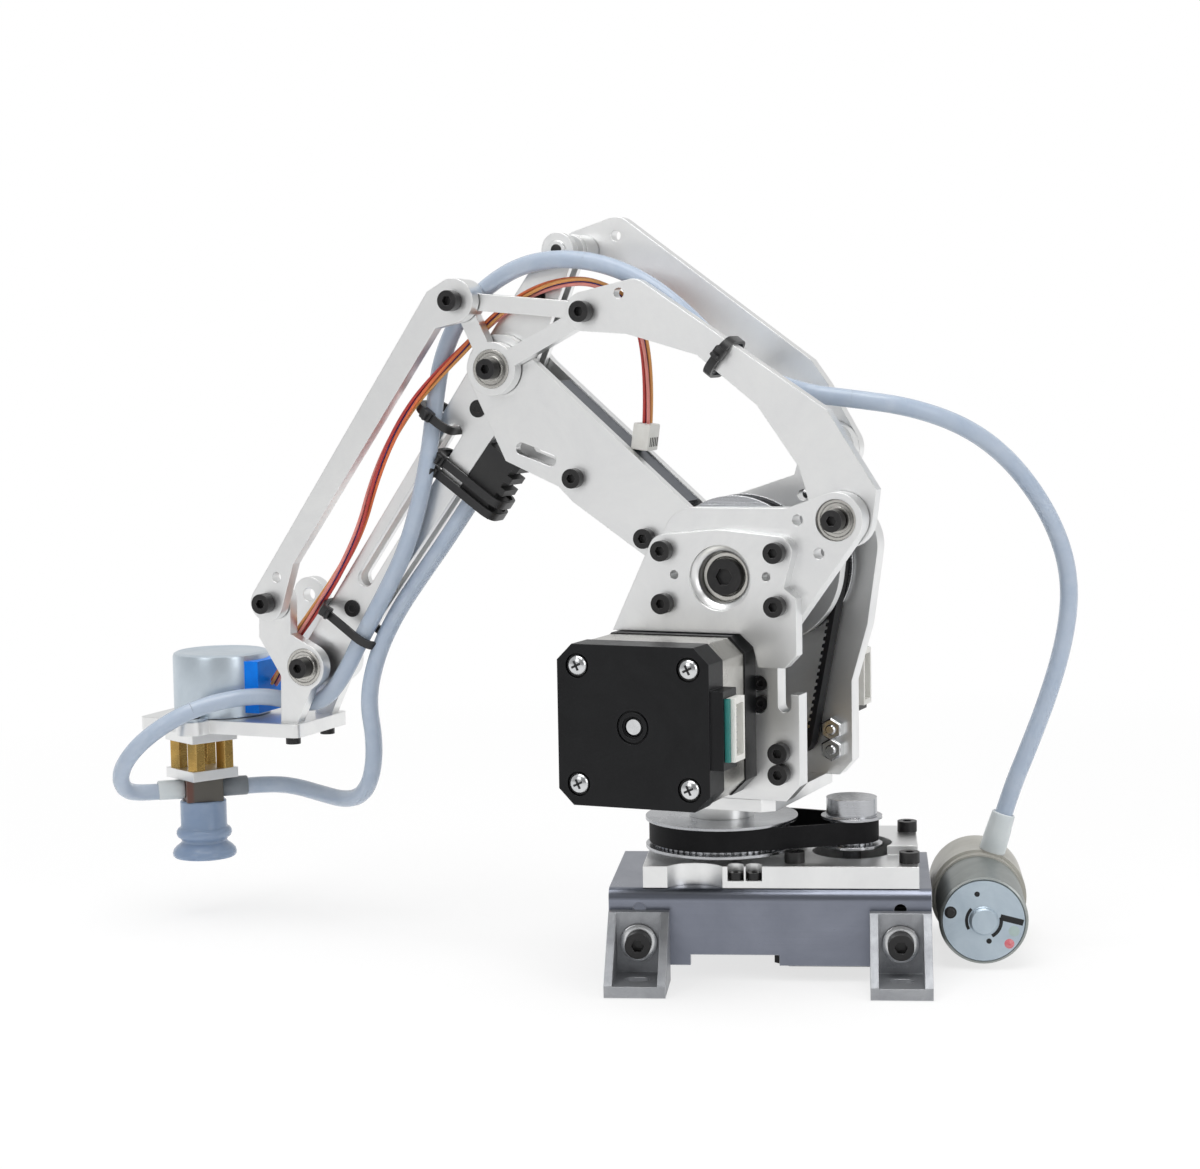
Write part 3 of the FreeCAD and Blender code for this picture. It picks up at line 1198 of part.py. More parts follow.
HOSE_TO_TOOL = [
    (-83.7, -6.4, 155.0), (-85.2, -7.2, 142.0), (-88.6, -7.2, 128.0), (-93.6, -7.2, 113.4),
    (-101.6, -7.1, 99.6), (-109.2, -7.0, 87.4), (-115.4, -6.4, 76.6), (-123.4, -4.6, 68.2),
    (-132.6, -4.4, 67.2), (-141.0, -7.6, 69.6), (-149.0, -15.2, 69.4), (-157.0, -23.4, 67.0),
    (-165.2, -29.6, 61.8), (-173.2, -31.4, 55.0), (-180.4, -28.0, 47.2), (-183.6, -21.2, 41.0),
    (-183.0, -13.6, 38.8), (-179.4, -8.5, 38.7),
]
VENT_HOSE = [
    (-75.9, -0.5, 127.1), (-83.0, -0.8, 117.2), (-91.2, -1.8, 106.4), (-99.0, -3.2, 95.4),
    (-104.8, -5.2, 83.4), (-107.4, -7.2, 70.0), (-105.8, -6.4, 57.4), (-108.6, -3.2, 46.6),
    (-115.4, 2.4, 39.2), (-125.0, 8.4, 36.4), (-135.6, 12.8, 37.0), (-146.3, 15.1, 38.4),
    (-154.0, 13.1, 38.9), (-159.8, 8.3, 38.7),
]
WIRE_LOOM = [
    (-143.1, -0.2, 72.4), (-138.4, -2.6, 77.0), (-133.8, -5.4, 85.0), (-125.6, -6.0, 94.6),
    (-116.6, -6.2, 106.0), (-108.6, -6.4, 119.4), (-103.6, -7.2, 133.0), (-96.8, -9.2, 145.0),
    (-88.6, -10.6, 155.6), (-80.8, -9.6, 163.8), (-73.2, -6.3, 171.6), (-64.6, -6.0, 179.6),
    (-53.6, -6.0, 185.6), (-41.6, -6.0, 187.6), (-29.6, -5.6, 183.4), (-21.6, -4.6, 173.6),
    (-18.2, -3.0, 161.4), (-20.2, -1.0, 150.0),
]


def cord(label, route, diameter):
    """A tube along a route: straight runs joined by the largest tangent arcs they allow."""
    points = [Vector(*point) for point in route]
    edges = []
    radii = []
    here = points[0]
    for before, at, after in zip(points, points[1:], points[2:]):
        into = (at - before).normalize()
        out = (after - at).normalize()
        turn = into.getAngle(out)
        reach = 0.45 * min((at - before).Length, (after - at).Length)
        radii.append(reach / math.tan(turn / 2))
        start = at - into * reach
        end = at + out * reach
        bisector = (out - into).normalize()
        inside = at + bisector * (radii[-1] / math.cos(turn / 2) - radii[-1])
        edges.append(Part.makeLine(here, start))
        edges.append(Part.Arc(start, inside, end).toShape())
        here = end
    edges.append(Part.makeLine(here, points[-1]))
    spine = Part.Wire(edges)
    section = Part.Wire(Part.makeCircle(diameter / 2, points[0], points[1] - points[0]))
    tube = spine.makePipeShell([section], True, False)
    share = tube.Volume / (math.pi * diameter ** 2 / 4 * spine.Length)
    print(f"{label}: length {spine.Length:.1f}, least radius {min(radii):.1f}, volume share {share:.4f}")
    group(label, [tube], TURRET)


cord("hose_to_arm", HOSE_TO_ARM, size("hose_dia"))
cord("hose_over_elbow", HOSE_OVER_ELBOW, size("hose_dia"))
cord("hose_to_tool", HOSE_TO_TOOL, size("hose_dia"))
cord("vent_hose", VENT_HOSE, size("hose_dia"))
cord("wire_loom", WIRE_LOOM, size("loom_dia"))

doc.recompute()
os.makedirs("parts", exist_ok=True)
for item in nodes:
    if "Invalid" in item.State or "Error" in item.State or item.Shape.isNull() or not item.Shape.isValid():
        raise RuntimeError(f"{item.Label} did not build")
    item.Shape.exportStep(f"parts/{item.Label}.step")
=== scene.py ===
# %% [markdown]
# # A small palletizing arm with a suction cup
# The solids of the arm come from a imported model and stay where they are. This lesson
# lights them, gives each one a finish, and adds what solids are poor at: soft hoses,
# coloured wires, cable ties and small fittings.

# %% Load the solids
import json
import math

import bmesh
import bpy
from mathutils import Matrix, Vector


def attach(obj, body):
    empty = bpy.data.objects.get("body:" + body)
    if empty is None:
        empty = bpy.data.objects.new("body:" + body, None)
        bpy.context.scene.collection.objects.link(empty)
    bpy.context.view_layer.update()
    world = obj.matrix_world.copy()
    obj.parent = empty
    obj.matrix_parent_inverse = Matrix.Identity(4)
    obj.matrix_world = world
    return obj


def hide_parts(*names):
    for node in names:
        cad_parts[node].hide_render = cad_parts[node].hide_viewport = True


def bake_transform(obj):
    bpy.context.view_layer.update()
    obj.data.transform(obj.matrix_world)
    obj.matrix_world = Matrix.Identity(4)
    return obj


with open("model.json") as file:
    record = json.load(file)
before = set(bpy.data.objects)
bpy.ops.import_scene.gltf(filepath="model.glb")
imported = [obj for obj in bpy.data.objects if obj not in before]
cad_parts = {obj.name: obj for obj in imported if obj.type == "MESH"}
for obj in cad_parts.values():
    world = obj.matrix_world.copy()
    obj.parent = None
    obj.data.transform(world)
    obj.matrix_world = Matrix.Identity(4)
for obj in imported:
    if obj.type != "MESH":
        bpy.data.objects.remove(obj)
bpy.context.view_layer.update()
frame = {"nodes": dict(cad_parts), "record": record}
solids = frame["nodes"]

# %% [markdown]
# ## The camera
# A camera is placed by three directions: where it looks, what is right of it and what is
# up. Writing those as the columns of a matrix gives the same view as turning it by hand,
# and the small roll of the picture goes into the right and up directions.

# %% Camera
YAW, PITCH, ROLL = (math.radians(angle) for angle in (5.77, 5.61, -0.97))
CAMERA_PLACE = (0.0245, -0.7084, 0.1752)
FOCAL_LENGTH, SENSOR_WIDTH = 77.1, 36.0

looks = Vector((
    -math.sin(YAW) * math.cos(PITCH), math.cos(YAW) * math.cos(PITCH), -math.sin(PITCH),
))
level_right = Vector((math.cos(YAW), math.sin(YAW), 0))
level_up = level_right.cross(looks)
right = level_right * math.cos(ROLL) + level_up * math.sin(ROLL)
up = level_up * math.cos(ROLL) - level_right * math.sin(ROLL)

lens = bpy.data.cameras.new("camera")
lens.sensor_fit = "HORIZONTAL"
lens.sensor_width = SENSOR_WIDTH
lens.lens = FOCAL_LENGTH
lens.clip_start = 0.01
camera = bpy.data.objects.new("camera", lens)
directions = Matrix((right, up, -looks)).transposed().to_4x4()
camera.matrix_world = Matrix.Translation(CAMERA_PLACE) @ directions
bpy.context.scene.collection.objects.link(camera)
bpy.context.scene.camera = camera
print("camera looks along", tuple(round(part, 3) for part in looks))

# %% [markdown]
# ## Places in the turret
# The turret is turned on its base, so everything that it carries is easier to place in
# the turret's own frame, in millimetres. One small function turns such a place into the
# frame of the scene, in metres.

# %% Turret frame
SHOULDER = (11.0, 110.0)


def turn_by(degrees, axis):
    return Matrix.Rotation(math.radians(degrees), 4, axis)


TURRET = Matrix.Translation((-0.0138, -0.0035, 0)) @ turn_by(-18.2, "Z")


def in_turret(x, y, z):
    return TURRET @ Vector((x / 1000, y / 1000, z / 1000))


print("shoulder axis at", in_turret(SHOULDER[0], 0, SHOULDER[1]))

# %% [markdown]
# ## Following a route
# A hose is one smooth line through the air. A NURBS spline of order 3 with the route's
# points as control points gives that line. A curve without a bevel turns into a plain
# chain of points, and those points lead the tubes and the wires.

# %% Read a smooth line
LINE_STEPS = 10


def new_curve(name, kind, places):
    curve = bpy.data.curves.new(name, "CURVE")
    curve.dimensions = "3D"
    curve.resolution_u = LINE_STEPS
    spline = curve.splines.new(kind)
    spline.points.add(len(places) - 1)
    for point, place in zip(spline.points, places):
        point.co = (*place, 1)
    return curve, spline


def mesh_of(curve):
    carrier = bpy.data.objects.new(curve.name, curve)
    bpy.context.scene.collection.objects.link(carrier)
    bpy.context.view_layer.update()
    graph = bpy.context.evaluated_depsgraph_get()
    mesh = bpy.data.meshes.new_from_object(carrier.evaluated_get(graph))
    bpy.data.objects.remove(carrier)
    bpy.data.curves.remove(curve)
    return mesh


def smooth_line(route):
    curve, spline = new_curve("route", "NURBS", [in_turret(*place) for place in route])
    spline.order_u = 3
    spline.use_endpoint_u = True
    chain = mesh_of(curve)
    line = [vertex.co.copy() for vertex in chain.vertices]
    bpy.data.meshes.remove(chain)
    return line


def line_length(line):
    return sum((b - a).length for a, b in zip(line, line[1:]))


print("points from one control point to the next", LINE_STEPS)

# %% [markdown]
# ## Tubes along a line
# A bevelled curve makes a round tube with closed ends. The tube is kept as a mesh,
# because a mesh can bend with two bodies of the arm when a joint moves. A line is cut at
# the points that lie nearest to the places where something holds the hose.

# %% Make a tube and cut a line
HOSE_RADIUS, HOSE_ROUNDNESS = 0.0025, 5


def tube_mesh(line, radius, roundness):
    curve, _ = new_curve("tube", "POLY", line)
    curve.bevel_depth = radius
    curve.bevel_resolution = roundness
    curve.use_fill_caps = True
    return mesh_of(curve)


def add_piece(name, mesh):
    mesh.name = name
    piece = bpy.data.objects.new(name, mesh)
    bpy.context.scene.collection.objects.link(piece)
    return piece


def nearest(line, place):
    return min(range(len(line)), key=lambda step: (line[step] - place).length)


def cut_line(line, places):
    cuts = [nearest(line, in_turret(*place)) for place in places]
    return list(zip([0] + cuts, cuts + [len(line) - 1]))


print("hose", 2 * HOSE_RADIUS, "m across")

# %% [markdown]
# ## The vacuum hose
# One soft silicone hose runs from the pump up behind the arm, over the elbow, down the
# forearm and round to the suction block. Its route could be drawn by hand in the editor,
# but written places are easier to move a little when something touches.

# %% Route of the vacuum hose
TO_ARM = [
    (67.2, 46.8, 35.4), (69.6, 47.9, 44.0), (74.6, 50.4, 57.4), (79.6, 52.4, 71.8),
    (83.6, 53.4, 86.6), (85.4, 52.8, 100.4), (84.0, 50.0, 113.2), (79.2, 44.0, 126.8),
    (72.0, 34.4, 139.4), (63.6, 22.4, 148.2), (52.2, 10.0, 153.8), (37.6, 4.2, 156.2),
]
OVER_ELBOW = [
    (25.6, 0.6, 157.8), (14.6, -5.6, 162.6), (4.6, -9.0, 170.2), (-6.6, -9.6, 181.6),
    (-19.6, -9.9, 190.6), (-34.0, -10.0, 195.2), (-48.6, -9.8, 195.4), (-62.4, -5.8, 191.4),
    (-75.0, -4.6, 182.2), (-81.8, -5.0, 168.6), (-83.6, -6.3, 155.4),
]
TO_TOOL = [
    (-85.2, -7.2, 142.0), (-88.6, -7.2, 128.0), (-93.6, -7.2, 113.4), (-101.6, -7.1, 99.6),
    (-109.2, -7.0, 87.4), (-115.4, -6.4, 76.6), (-123.4, -4.6, 68.2), (-132.6, -4.4, 67.2),
    (-141.0, -7.6, 69.6), (-149.0, -15.2, 69.4), (-157.0, -23.4, 67.0), (-165.2, -29.6, 61.8),
    (-173.2, -31.4, 55.0), (-180.4, -28.0, 47.2), (-183.6, -21.2, 41.0), (-183.0, -13.6, 38.8),
    (-179.4, -8.5, 38.7),
]
hose_line = smooth_line(TO_ARM + OVER_ELBOW + TO_TOOL)
print("vacuum hose", round(line_length(hose_line), 4), "m,", len(hose_line), "points")

# %% [markdown]
# ## Stretches of a hose
# The hose passes seven moving bodies, so it is cut into stretches at the places where
# something holds it. A stretch between two bodies stays in the scene's frame, and one that
# is tied down rides on one body. One long mesh could not follow so many joints.

# %% Cut the vacuum hose into stretches
hoses = []


def lay_cord(piece, part, bodies, node):
    if len(bodies) == 2:
        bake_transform(piece)
    else:
        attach(piece, bodies[0])
    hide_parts(node)
    print(piece.name, round(line_length(part), 4), "m")


def lay_hose(name, node, bodies, part):
    piece = add_piece(name, tube_mesh(part, HOSE_RADIUS, HOSE_ROUNDNESS))
    lay_cord(piece, part, bodies, node)
    hoses.append(piece)


HOSE_HOLDS = [
    (37.6, 4.4, 156.2), (4.6, -9.0, 170.2), (-34.0, -10.0, 195.0), (-83.6, -6.3, 155.0),
    (-107.0, -7.0, 91.0), (-157.0, -23.4, 66.6),
]
HOSE_STRETCHES = [
    ("hose_pump_to_arm", "hose_to_arm", ("base", "turret")),
    ("hose_to_rod", "hose_over_elbow", ("turret", "level_rod")),
    ("hose_over_rod", "hose_over_elbow", ("level_rod", "level_pin")),
    ("hose_over_joint", "hose_over_elbow", ("elbow_link", "forearm")),
    ("hose_on_forearm", "hose_to_tool", ("forearm",)),
    ("hose_past_wrist", "hose_to_tool", ("forearm", "wrist")),
    ("hose_round_tool", "hose_to_tool", ("wrist", "tool")),
]
for stretch, (first, last) in zip(HOSE_STRETCHES, cut_line(hose_line, HOSE_HOLDS)):
    lay_hose(*stretch, hose_line[first:last + 1])

# %% [markdown]
# ## The vent hose
# A second hose leaves the black vent valve on the forearm and hangs in a loose bow to
# the other side of the suction block. It bends over the same joints, so it is made in the
# same way.

# %% Vent hose
VENT = [
    (-75.9, -0.5, 127.1), (-83.0, -0.8, 117.2), (-91.2, -1.8, 106.4), (-99.0, -3.2, 95.4),
    (-104.8, -5.2, 83.4), (-107.4, -7.2, 70.0), (-105.8, -6.4, 57.4), (-108.6, -3.2, 46.6),
    (-115.4, 2.4, 39.2), (-125.0, 8.4, 36.4), (-135.6, 12.8, 37.0), (-146.3, 15.1, 38.4),
    (-154.0, 13.1, 38.9), (-159.8, 8.3, 38.7),
]
VENT_HOLDS = [(-99.0, -3.2, 95.4), (-125.0, 8.4, 36.4)]
VENT_STRETCHES = [
    ("vent_on_forearm", "vent_hose", ("forearm",)),
    ("vent_past_wrist", "vent_hose", ("forearm", "wrist")),
    ("vent_to_block", "vent_hose", ("wrist", "tool")),
]
vent_line = smooth_line(VENT)
for stretch, (first, last) in zip(VENT_STRETCHES, cut_line(vent_line, VENT_HOLDS)):
    lay_hose(*stretch, vent_line[first:last + 1])
print("vent hose", round(line_length(vent_line), 4), "m")

# %% [markdown]
# ## The wires of the tool motor
# Five thin coloured wires run side by side from the tool motor to a plug on the arm.
# Each wire is its own tube, a little off the middle of the bundle. The bundle turns
# slowly round its line, so that the wires change places as loose wires do.

# %% Wires round a line
LOOM = [
    (-143.1, -0.2, 72.4), (-138.4, -2.6, 77.0), (-133.8, -5.4, 85.0), (-125.6, -6.0, 94.6),
    (-116.6, -6.2, 106.0), (-108.6, -6.4, 119.4), (-103.6, -7.2, 133.0), (-96.8, -9.2, 145.0),
    (-88.6, -10.6, 155.6), (-80.8, -9.6, 163.8), (-73.2, -6.3, 171.6), (-64.6, -6.0, 179.6),
    (-53.6, -6.4, 186.2), (-42.6, -8.6, 189.2), (-31.6, -9.0, 189.2), (-20.6, -7.4, 182.6),
    (-18.2, -3.6, 165.0), (-20.2, -1.0, 150.0),
]
WIRES = {
    "wire_orange": (0.75, 0.17, 0.05), "wire_red": (0.52, 0.05, 0.04),
    "wire_pink": (0.78, 0.28, 0.24), "wire_yellow": (0.74, 0.34, 0.10),
    "wire_blue": (0.04, 0.04, 0.26),
}
WIRE_RADIUS, WIRE_ROUNDNESS = 0.0005, 2
OUTER_WIRES, OFF_MIDDLE = 4, 0.00095
TWIST = 0.05
loom_line = smooth_line(LOOM)


def wires_along(line, first, last):
    strands = []
    side = in_turret(0, 1, 0) - in_turret(0, 0, 0)
    for wire in range(len(WIRES)):
        out = OFF_MIDDLE if wire < OUTER_WIRES else 0.0
        strand = []
        for step in range(first, last + 1):
            ahead = line[min(step + 1, len(line) - 1)] - line[max(step - 1, 0)]
            across = ahead.cross(side).normalized()
            back = across.cross(ahead).normalized()
            turn = step * TWIST + math.tau * wire / OUTER_WIRES
            strand.append(line[step] + across * out * math.cos(turn) + back * out * math.sin(turn))
        strands.append(strand)
    return strands


print("loom", round(line_length(loom_line), 4), "m")

# %% [markdown]
# ## Node groups for the finishes
# Several finishes share the same small effects, so each effect is a node group with
# named sockets: fine grain, drawn-out brush lines, soft handling marks and soft edges. A
# group hands out masks, heights and normals, and each material decides what they change.
# Two helpers set the values of a node and make the sockets of a group.

# %% Nodes, sockets and values
def set_values(node, **values):
    for label, value in values.items():
        node.inputs[label.replace("_", " ")].default_value = value
    return node


def new_group(name, label, kind, value, outputs):
    group = bpy.data.node_groups.new(name, "ShaderNodeTree")
    given = group.interface.new_socket(label, in_out="INPUT", socket_type=kind)
    given.default_value = value
    for made, made_kind in outputs:
        group.interface.new_socket(made, in_out="OUTPUT", socket_type=made_kind)
    return group, group.nodes.new("NodeGroupInput"), group.nodes.new("NodeGroupOutput")


FLOAT, VECTOR = "NodeSocketFloat", "NodeSocketVector"
print("sockets", FLOAT, VECTOR)

# %% [markdown]
# ## Grain, brush lines and handling marks
# Grain is fine noise. Brush lines are noise that is squeezed in one direction and drawn
# out in the others. Handling marks are larger, broken noise with more contrast. All three
# read Object coordinates, so a pattern stays on its piece when a joint moves.

# %% Noise effects
def fine_grain_group():
    group, given, made = new_group("fine_grain", "Scale", FLOAT, 900.0, [("Grain", FLOAT)])
    place = group.nodes.new("ShaderNodeTexCoord")
    noise = set_values(group.nodes.new("ShaderNodeTexNoise"), Detail=4.0, Roughness=0.62)
    group.links.new(place.outputs["Object"], noise.inputs["Vector"])
    group.links.new(given.outputs["Scale"], noise.inputs["Scale"])
    group.links.new(noise.outputs["Fac"], made.inputs["Grain"])
    return group


def brush_lines_group():
    stretch = (40.0, 40.0, 2400.0)
    group, given, made = new_group("brush_lines", "Stretch", VECTOR, stretch, [("Lines", FLOAT)])
    place = group.nodes.new("ShaderNodeTexCoord")
    drawn = group.nodes.new("ShaderNodeMapping")
    noise = set_values(group.nodes.new("ShaderNodeTexNoise"), Scale=1.0, Detail=3.0)
    group.links.new(place.outputs["Object"], drawn.inputs["Vector"])
    group.links.new(given.outputs["Stretch"], drawn.inputs["Scale"])
    group.links.new(drawn.outputs["Vector"], noise.inputs["Vector"])
    group.links.new(noise.outputs["Fac"], made.inputs["Lines"])
    return group


def handling_group():
    group, given, made = new_group("handling_marks", "Scale", FLOAT, 45.0, [("Marks", FLOAT)])
    place = group.nodes.new("ShaderNodeTexCoord")
    noise = group.nodes.new("ShaderNodeTexNoise")
    set_values(noise, Detail=6.0, Roughness=0.7, Distortion=0.6)
    contrast = set_values(group.nodes.new("ShaderNodeMapRange"), From_Min=0.35, From_Max=0.7)
    group.links.new(place.outputs["Object"], noise.inputs["Vector"])
    group.links.new(given.outputs["Scale"], noise.inputs["Scale"])
    group.links.new(noise.outputs["Fac"], contrast.inputs["Value"])
    group.links.new(contrast.outputs["Result"], made.inputs["Marks"])
    return group


FINE_GRAIN, BRUSH_LINES = fine_grain_group(), brush_lines_group()
HANDLING = handling_group()
print("effects", FINE_GRAIN.name, BRUSH_LINES.name, HANDLING.name)

# %% [markdown]
# ## Soft edges
# An edge catches the light and wears first. Bevelling every solid would find the edges
# too, but it would change the shapes. The group compares the true normal with one that is
# averaged over a small radius instead: where they differ there is an edge. The averaged
# normal shades the edges, and the edge mask is part wear and part painted highlight.

# %% Edge effect
def soft_edges_group():
    outputs = [("WearAndHighlight", FLOAT), ("Normal", VECTOR)]
    group, given, made = new_group("soft_edges", "Radius", FLOAT, 0.0003, outputs)
    rounded = group.nodes.new("ShaderNodeBevel")
    rounded.samples = 4
    true = group.nodes.new("ShaderNodeNewGeometry")
    alike = group.nodes.new("ShaderNodeVectorMath")
    alike.operation = "DOT_PRODUCT"
    # edge mask for a lighter colour: part wear, part painted highlight
    wear_and_highlight = set_values(group.nodes.new("ShaderNodeMapRange"), From_Min=0.99, From_Max=0.80)
    group.links.new(given.outputs["Radius"], rounded.inputs["Radius"])
    group.links.new(rounded.outputs["Normal"], alike.inputs[0])
    group.links.new(true.outputs["Normal"], alike.inputs[1])
    group.links.new(alike.outputs["Value"], wear_and_highlight.inputs["Value"])
    group.links.new(wear_and_highlight.outputs["Result"], made.inputs["WearAndHighlight"])
    group.links.new(rounded.outputs["Normal"], made.inputs["Normal"])
    return group


SOFT_EDGES = soft_edges_group()
print("effect", SOFT_EDGES.name)

# %% [markdown]
# ## A recipe for a finish
# Most finishes here differ in numbers and not in kind: a colour that drifts a little with
# the handling marks, a roughness that moves with a grain, and a very shallow bump. One
# function builds that, and each finish calls it with its own values: `rough` and `span`
# are the middle and the reach of the roughness, `grain` or `lines` choose the pattern,
# and `edge` is the lighter colour of edges, part wear and part painted highlight.

# %% Build a finish
FINISHES = {}
BUMP_HEIGHT = 0.0002


def use_group(tree, group, **values):
    node = tree.nodes.new("ShaderNodeGroup")
    node.node_tree = group
    return set_values(node, **values)


def colour_mix(tree, **colours):
    mix = tree.nodes.new("ShaderNodeMix")
    mix.data_type = "RGBA"
    return set_values(mix, **{side: (*colour, 1) for side, colour in colours.items()})


def finish(
    slot, name, colour, worn, *, rough, span, bump, marks,
    metal=0.0, grain=None, lines=None, edge=None, **shader,
):
    material = bpy.data.materials.new(name)
    material.use_nodes = True
    tree = material.node_tree
    link = tree.links.new
    surface = set_values(tree.nodes["Principled BSDF"], Metallic=metal, **shader)
    if lines:
        detail = use_group(tree, BRUSH_LINES, Stretch=lines)
    else:
        detail = use_group(tree, FINE_GRAIN, Scale=grain)
    handled = use_group(tree, HANDLING, Scale=marks)

    tone = colour_mix(tree, A=colour, B=worn)
    link(handled.outputs["Marks"], tone.inputs["Factor"])
    link(tone.outputs["Result"], surface.inputs["Base Color"])

    both = tree.nodes.new("ShaderNodeMath")
    both.operation = "ADD"
    link(detail.outputs[0], both.inputs[0])
    link(handled.outputs["Marks"], both.inputs[1])
    gloss = tree.nodes.new("ShaderNodeMapRange")
    set_values(gloss, From_Max=2.0, To_Min=rough - span, To_Max=rough + span)
    link(both.outputs["Value"], gloss.inputs["Value"])
    link(gloss.outputs["Result"], surface.inputs["Roughness"])

    relief = set_values(tree.nodes.new("ShaderNodeBump"), Strength=bump, Distance=BUMP_HEIGHT)
    link(detail.outputs[0], relief.inputs["Height"])
    link(relief.outputs["Normal"], surface.inputs["Normal"])

    if edge:
        soft = use_group(tree, SOFT_EDGES)
        link(soft.outputs["Normal"], relief.inputs["Normal"])
        # lighter edges: part wear, part painted highlight
        worn_and_highlit_edge = colour_mix(tree, B=edge)
        link(soft.outputs["WearAndHighlight"], worn_and_highlit_edge.inputs["Factor"])
        link(tone.outputs["Result"], worn_and_highlit_edge.inputs["A"])
        link(worn_and_highlit_edge.outputs["Result"], surface.inputs["Base Color"])
    FINISHES[slot] = material


print("bump", BUMP_HEIGHT, "m")

# %% [markdown]
# ## The metals
# Most colours are what the metal itself shows under plain light: pale satin aluminium on the
# plates, grainy castings for the feet and black oxide on the screws. The brushed sheet on the
# base is darker, and that tone is painted reflection of a dark ground. Steel, brass and plated
# shells differ mostly in tone and gloss.

# %% Metals of plates, feet and screws
# The `edge` colours are lighter than the metals: part wear and part painted highlight.
finish(
    "plate_aluminium", "satin_plate", (0.87, 0.875, 0.87), (0.79, 0.795, 0.80), metal=1.0,
    rough=0.36, span=0.07, bump=0.10, grain=2200.0, marks=30.0, edge=(0.95, 0.95, 0.94))
# The base sheet's dark tone is painted reflection of a dark ground in front of it; its light edge
# is part wear, part painted highlight on the bend.
finish(
    "base_sheet", "brushed_sheet", (0.23, 0.246, 0.295), (0.195, 0.21, 0.255), metal=1.0,
    rough=0.32, span=0.08, bump=0.12, lines=(25.0, 25.0, 3000.0), marks=30.0,
    edge=(0.72, 0.73, 0.76))
finish(
    "cast_foot", "grainy_casting", (0.40, 0.41, 0.43), (0.31, 0.32, 0.34), metal=0.8,
    rough=0.50, span=0.10, bump=0.55, grain=1500.0, marks=120.0, edge=(0.62, 0.63, 0.65))
finish(
    "black_screw", "black_oxide", (0.008, 0.008, 0.009), (0.020, 0.019, 0.019), metal=0.2,
    rough=0.36, span=0.08, bump=0.10, grain=3000.0, marks=300.0, edge=(0.06, 0.06, 0.06))
finish(
    "bearing_steel", "ground_steel", (0.58, 0.57, 0.54), (0.48, 0.47, 0.44), metal=1.0,
    rough=0.26, span=0.06, bump=0.05, grain=2500.0, marks=90.0, edge=(0.72, 0.71, 0.68))
finish(
    "pulley_aluminium", "turned_aluminium", (0.50, 0.51, 0.53), (0.40, 0.41, 0.43), metal=1.0,
    rough=0.26, span=0.06, bump=0.12, lines=(60.0, 60.0, 3500.0), marks=60.0,
    edge=(0.78, 0.78, 0.79))
print("metals", len(FINISHES))

# %% Brass, zinc and shells
finish(
    "brass", "turned_brass", (0.56, 0.36, 0.11), (0.40, 0.25, 0.08), metal=1.0,
    rough=0.28, span=0.07, bump=0.10, lines=(60.0, 60.0, 3500.0), marks=150.0,
    edge=(0.80, 0.58, 0.24))
finish(
    "pump_can", "plated_can", (0.34, 0.36, 0.35), (0.28, 0.30, 0.29), metal=0.8,
    rough=0.44, span=0.08, bump=0.10, grain=1800.0, marks=60.0)
finish(
    "zinc", "zinc_plating", (0.68, 0.69, 0.70), (0.58, 0.59, 0.60), metal=1.0,
    rough=0.24, span=0.06, bump=0.05, grain=2500.0, marks=200.0)
# The cross strip's dark colour is painted shade and painted reflection on aluminium; its light
# edges are part wear, part painted highlight.
finish(
    "dark_strip", "strip_painted_shade", (0.075, 0.085, 0.105), (0.11, 0.12, 0.14), metal=1.0,
    rough=0.34, span=0.07, bump=0.08, lines=(60.0, 60.0, 1500.0), marks=60.0,
    edge=(0.45, 0.46, 0.48))
finish(
    "plated_cap", "plated_cap", (0.49, 0.57, 0.635), (0.41, 0.49, 0.56), metal=0.75,
    rough=0.42, span=0.08, bump=0.08, grain=1600.0, marks=90.0)
finish(
    "pale_can", "drawn_can", (0.61, 0.68, 0.74), (0.53, 0.60, 0.66), metal=0.8,
    rough=0.36, span=0.06, bump=0.05, grain=2000.0, marks=60.0)
print("metals", len(FINISHES))

# %% [markdown]
# ## Plastics, rubber and paint
# None of these is a metal, so their colour comes from below a clear, weak reflection.
# Belts and motors are nearly black, and a lower Specular IOR Level keeps them from
# looking grey. Silicone lets light in, so hoses, white sleeves and the cup have a little
# subsurface light that reaches a millimetre and a half.

# %% Black and moulded plastics
finish(
    "belt_rubber", "belt_rubber", (0.004, 0.004, 0.005), (0.010, 0.010, 0.011),
    rough=0.62, span=0.10, bump=0.25, grain=2500.0, marks=120.0, Specular_IOR_Level=0.16)
finish(
    "motor_black", "satin_black_paint", (0.004, 0.0042, 0.005), (0.008, 0.0085, 0.0095),
    rough=0.36, span=0.08, bump=0.22, grain=1800.0, marks=60.0,
    edge=(0.03, 0.03, 0.033), Specular_IOR_Level=0.22)
finish(
    "plug_white", "moulded_white", (0.78, 0.78, 0.75), (0.70, 0.69, 0.65),
    rough=0.45, span=0.06, bump=0.08, grain=1500.0, marks=120.0)
finish(
    "cover_blue", "moulded_blue", (0.002, 0.25, 0.95), (0.002, 0.18, 0.80),
    rough=0.32, span=0.06, bump=0.06, grain=1500.0, marks=90.0, Specular_IOR_Level=0.14)
finish(
    "block_brown", "brown_block", (0.13, 0.045, 0.030), (0.10, 0.055, 0.045),
    rough=0.42, span=0.08, bump=0.15, grain=1500.0, marks=150.0, edge=(0.24, 0.16, 0.13))
finish(
    "pump_beige", "pump_plastic", (0.46, 0.45, 0.41), (0.40, 0.39, 0.35),
    rough=0.42, span=0.07, bump=0.12, grain=1200.0, marks=90.0)
finish(
    "valve_black", "valve_plastic", (0.012, 0.012, 0.013), (0.02, 0.02, 0.02),
    rough=0.48, span=0.07, bump=0.15, grain=1500.0, marks=90.0)
finish(
    "tie_nylon", "tie_nylon", (0.010, 0.010, 0.011), (0.018, 0.018, 0.019),
    rough=0.36, span=0.06, bump=0.10, grain=2200.0, marks=150.0)
print("finishes", len(FINISHES))

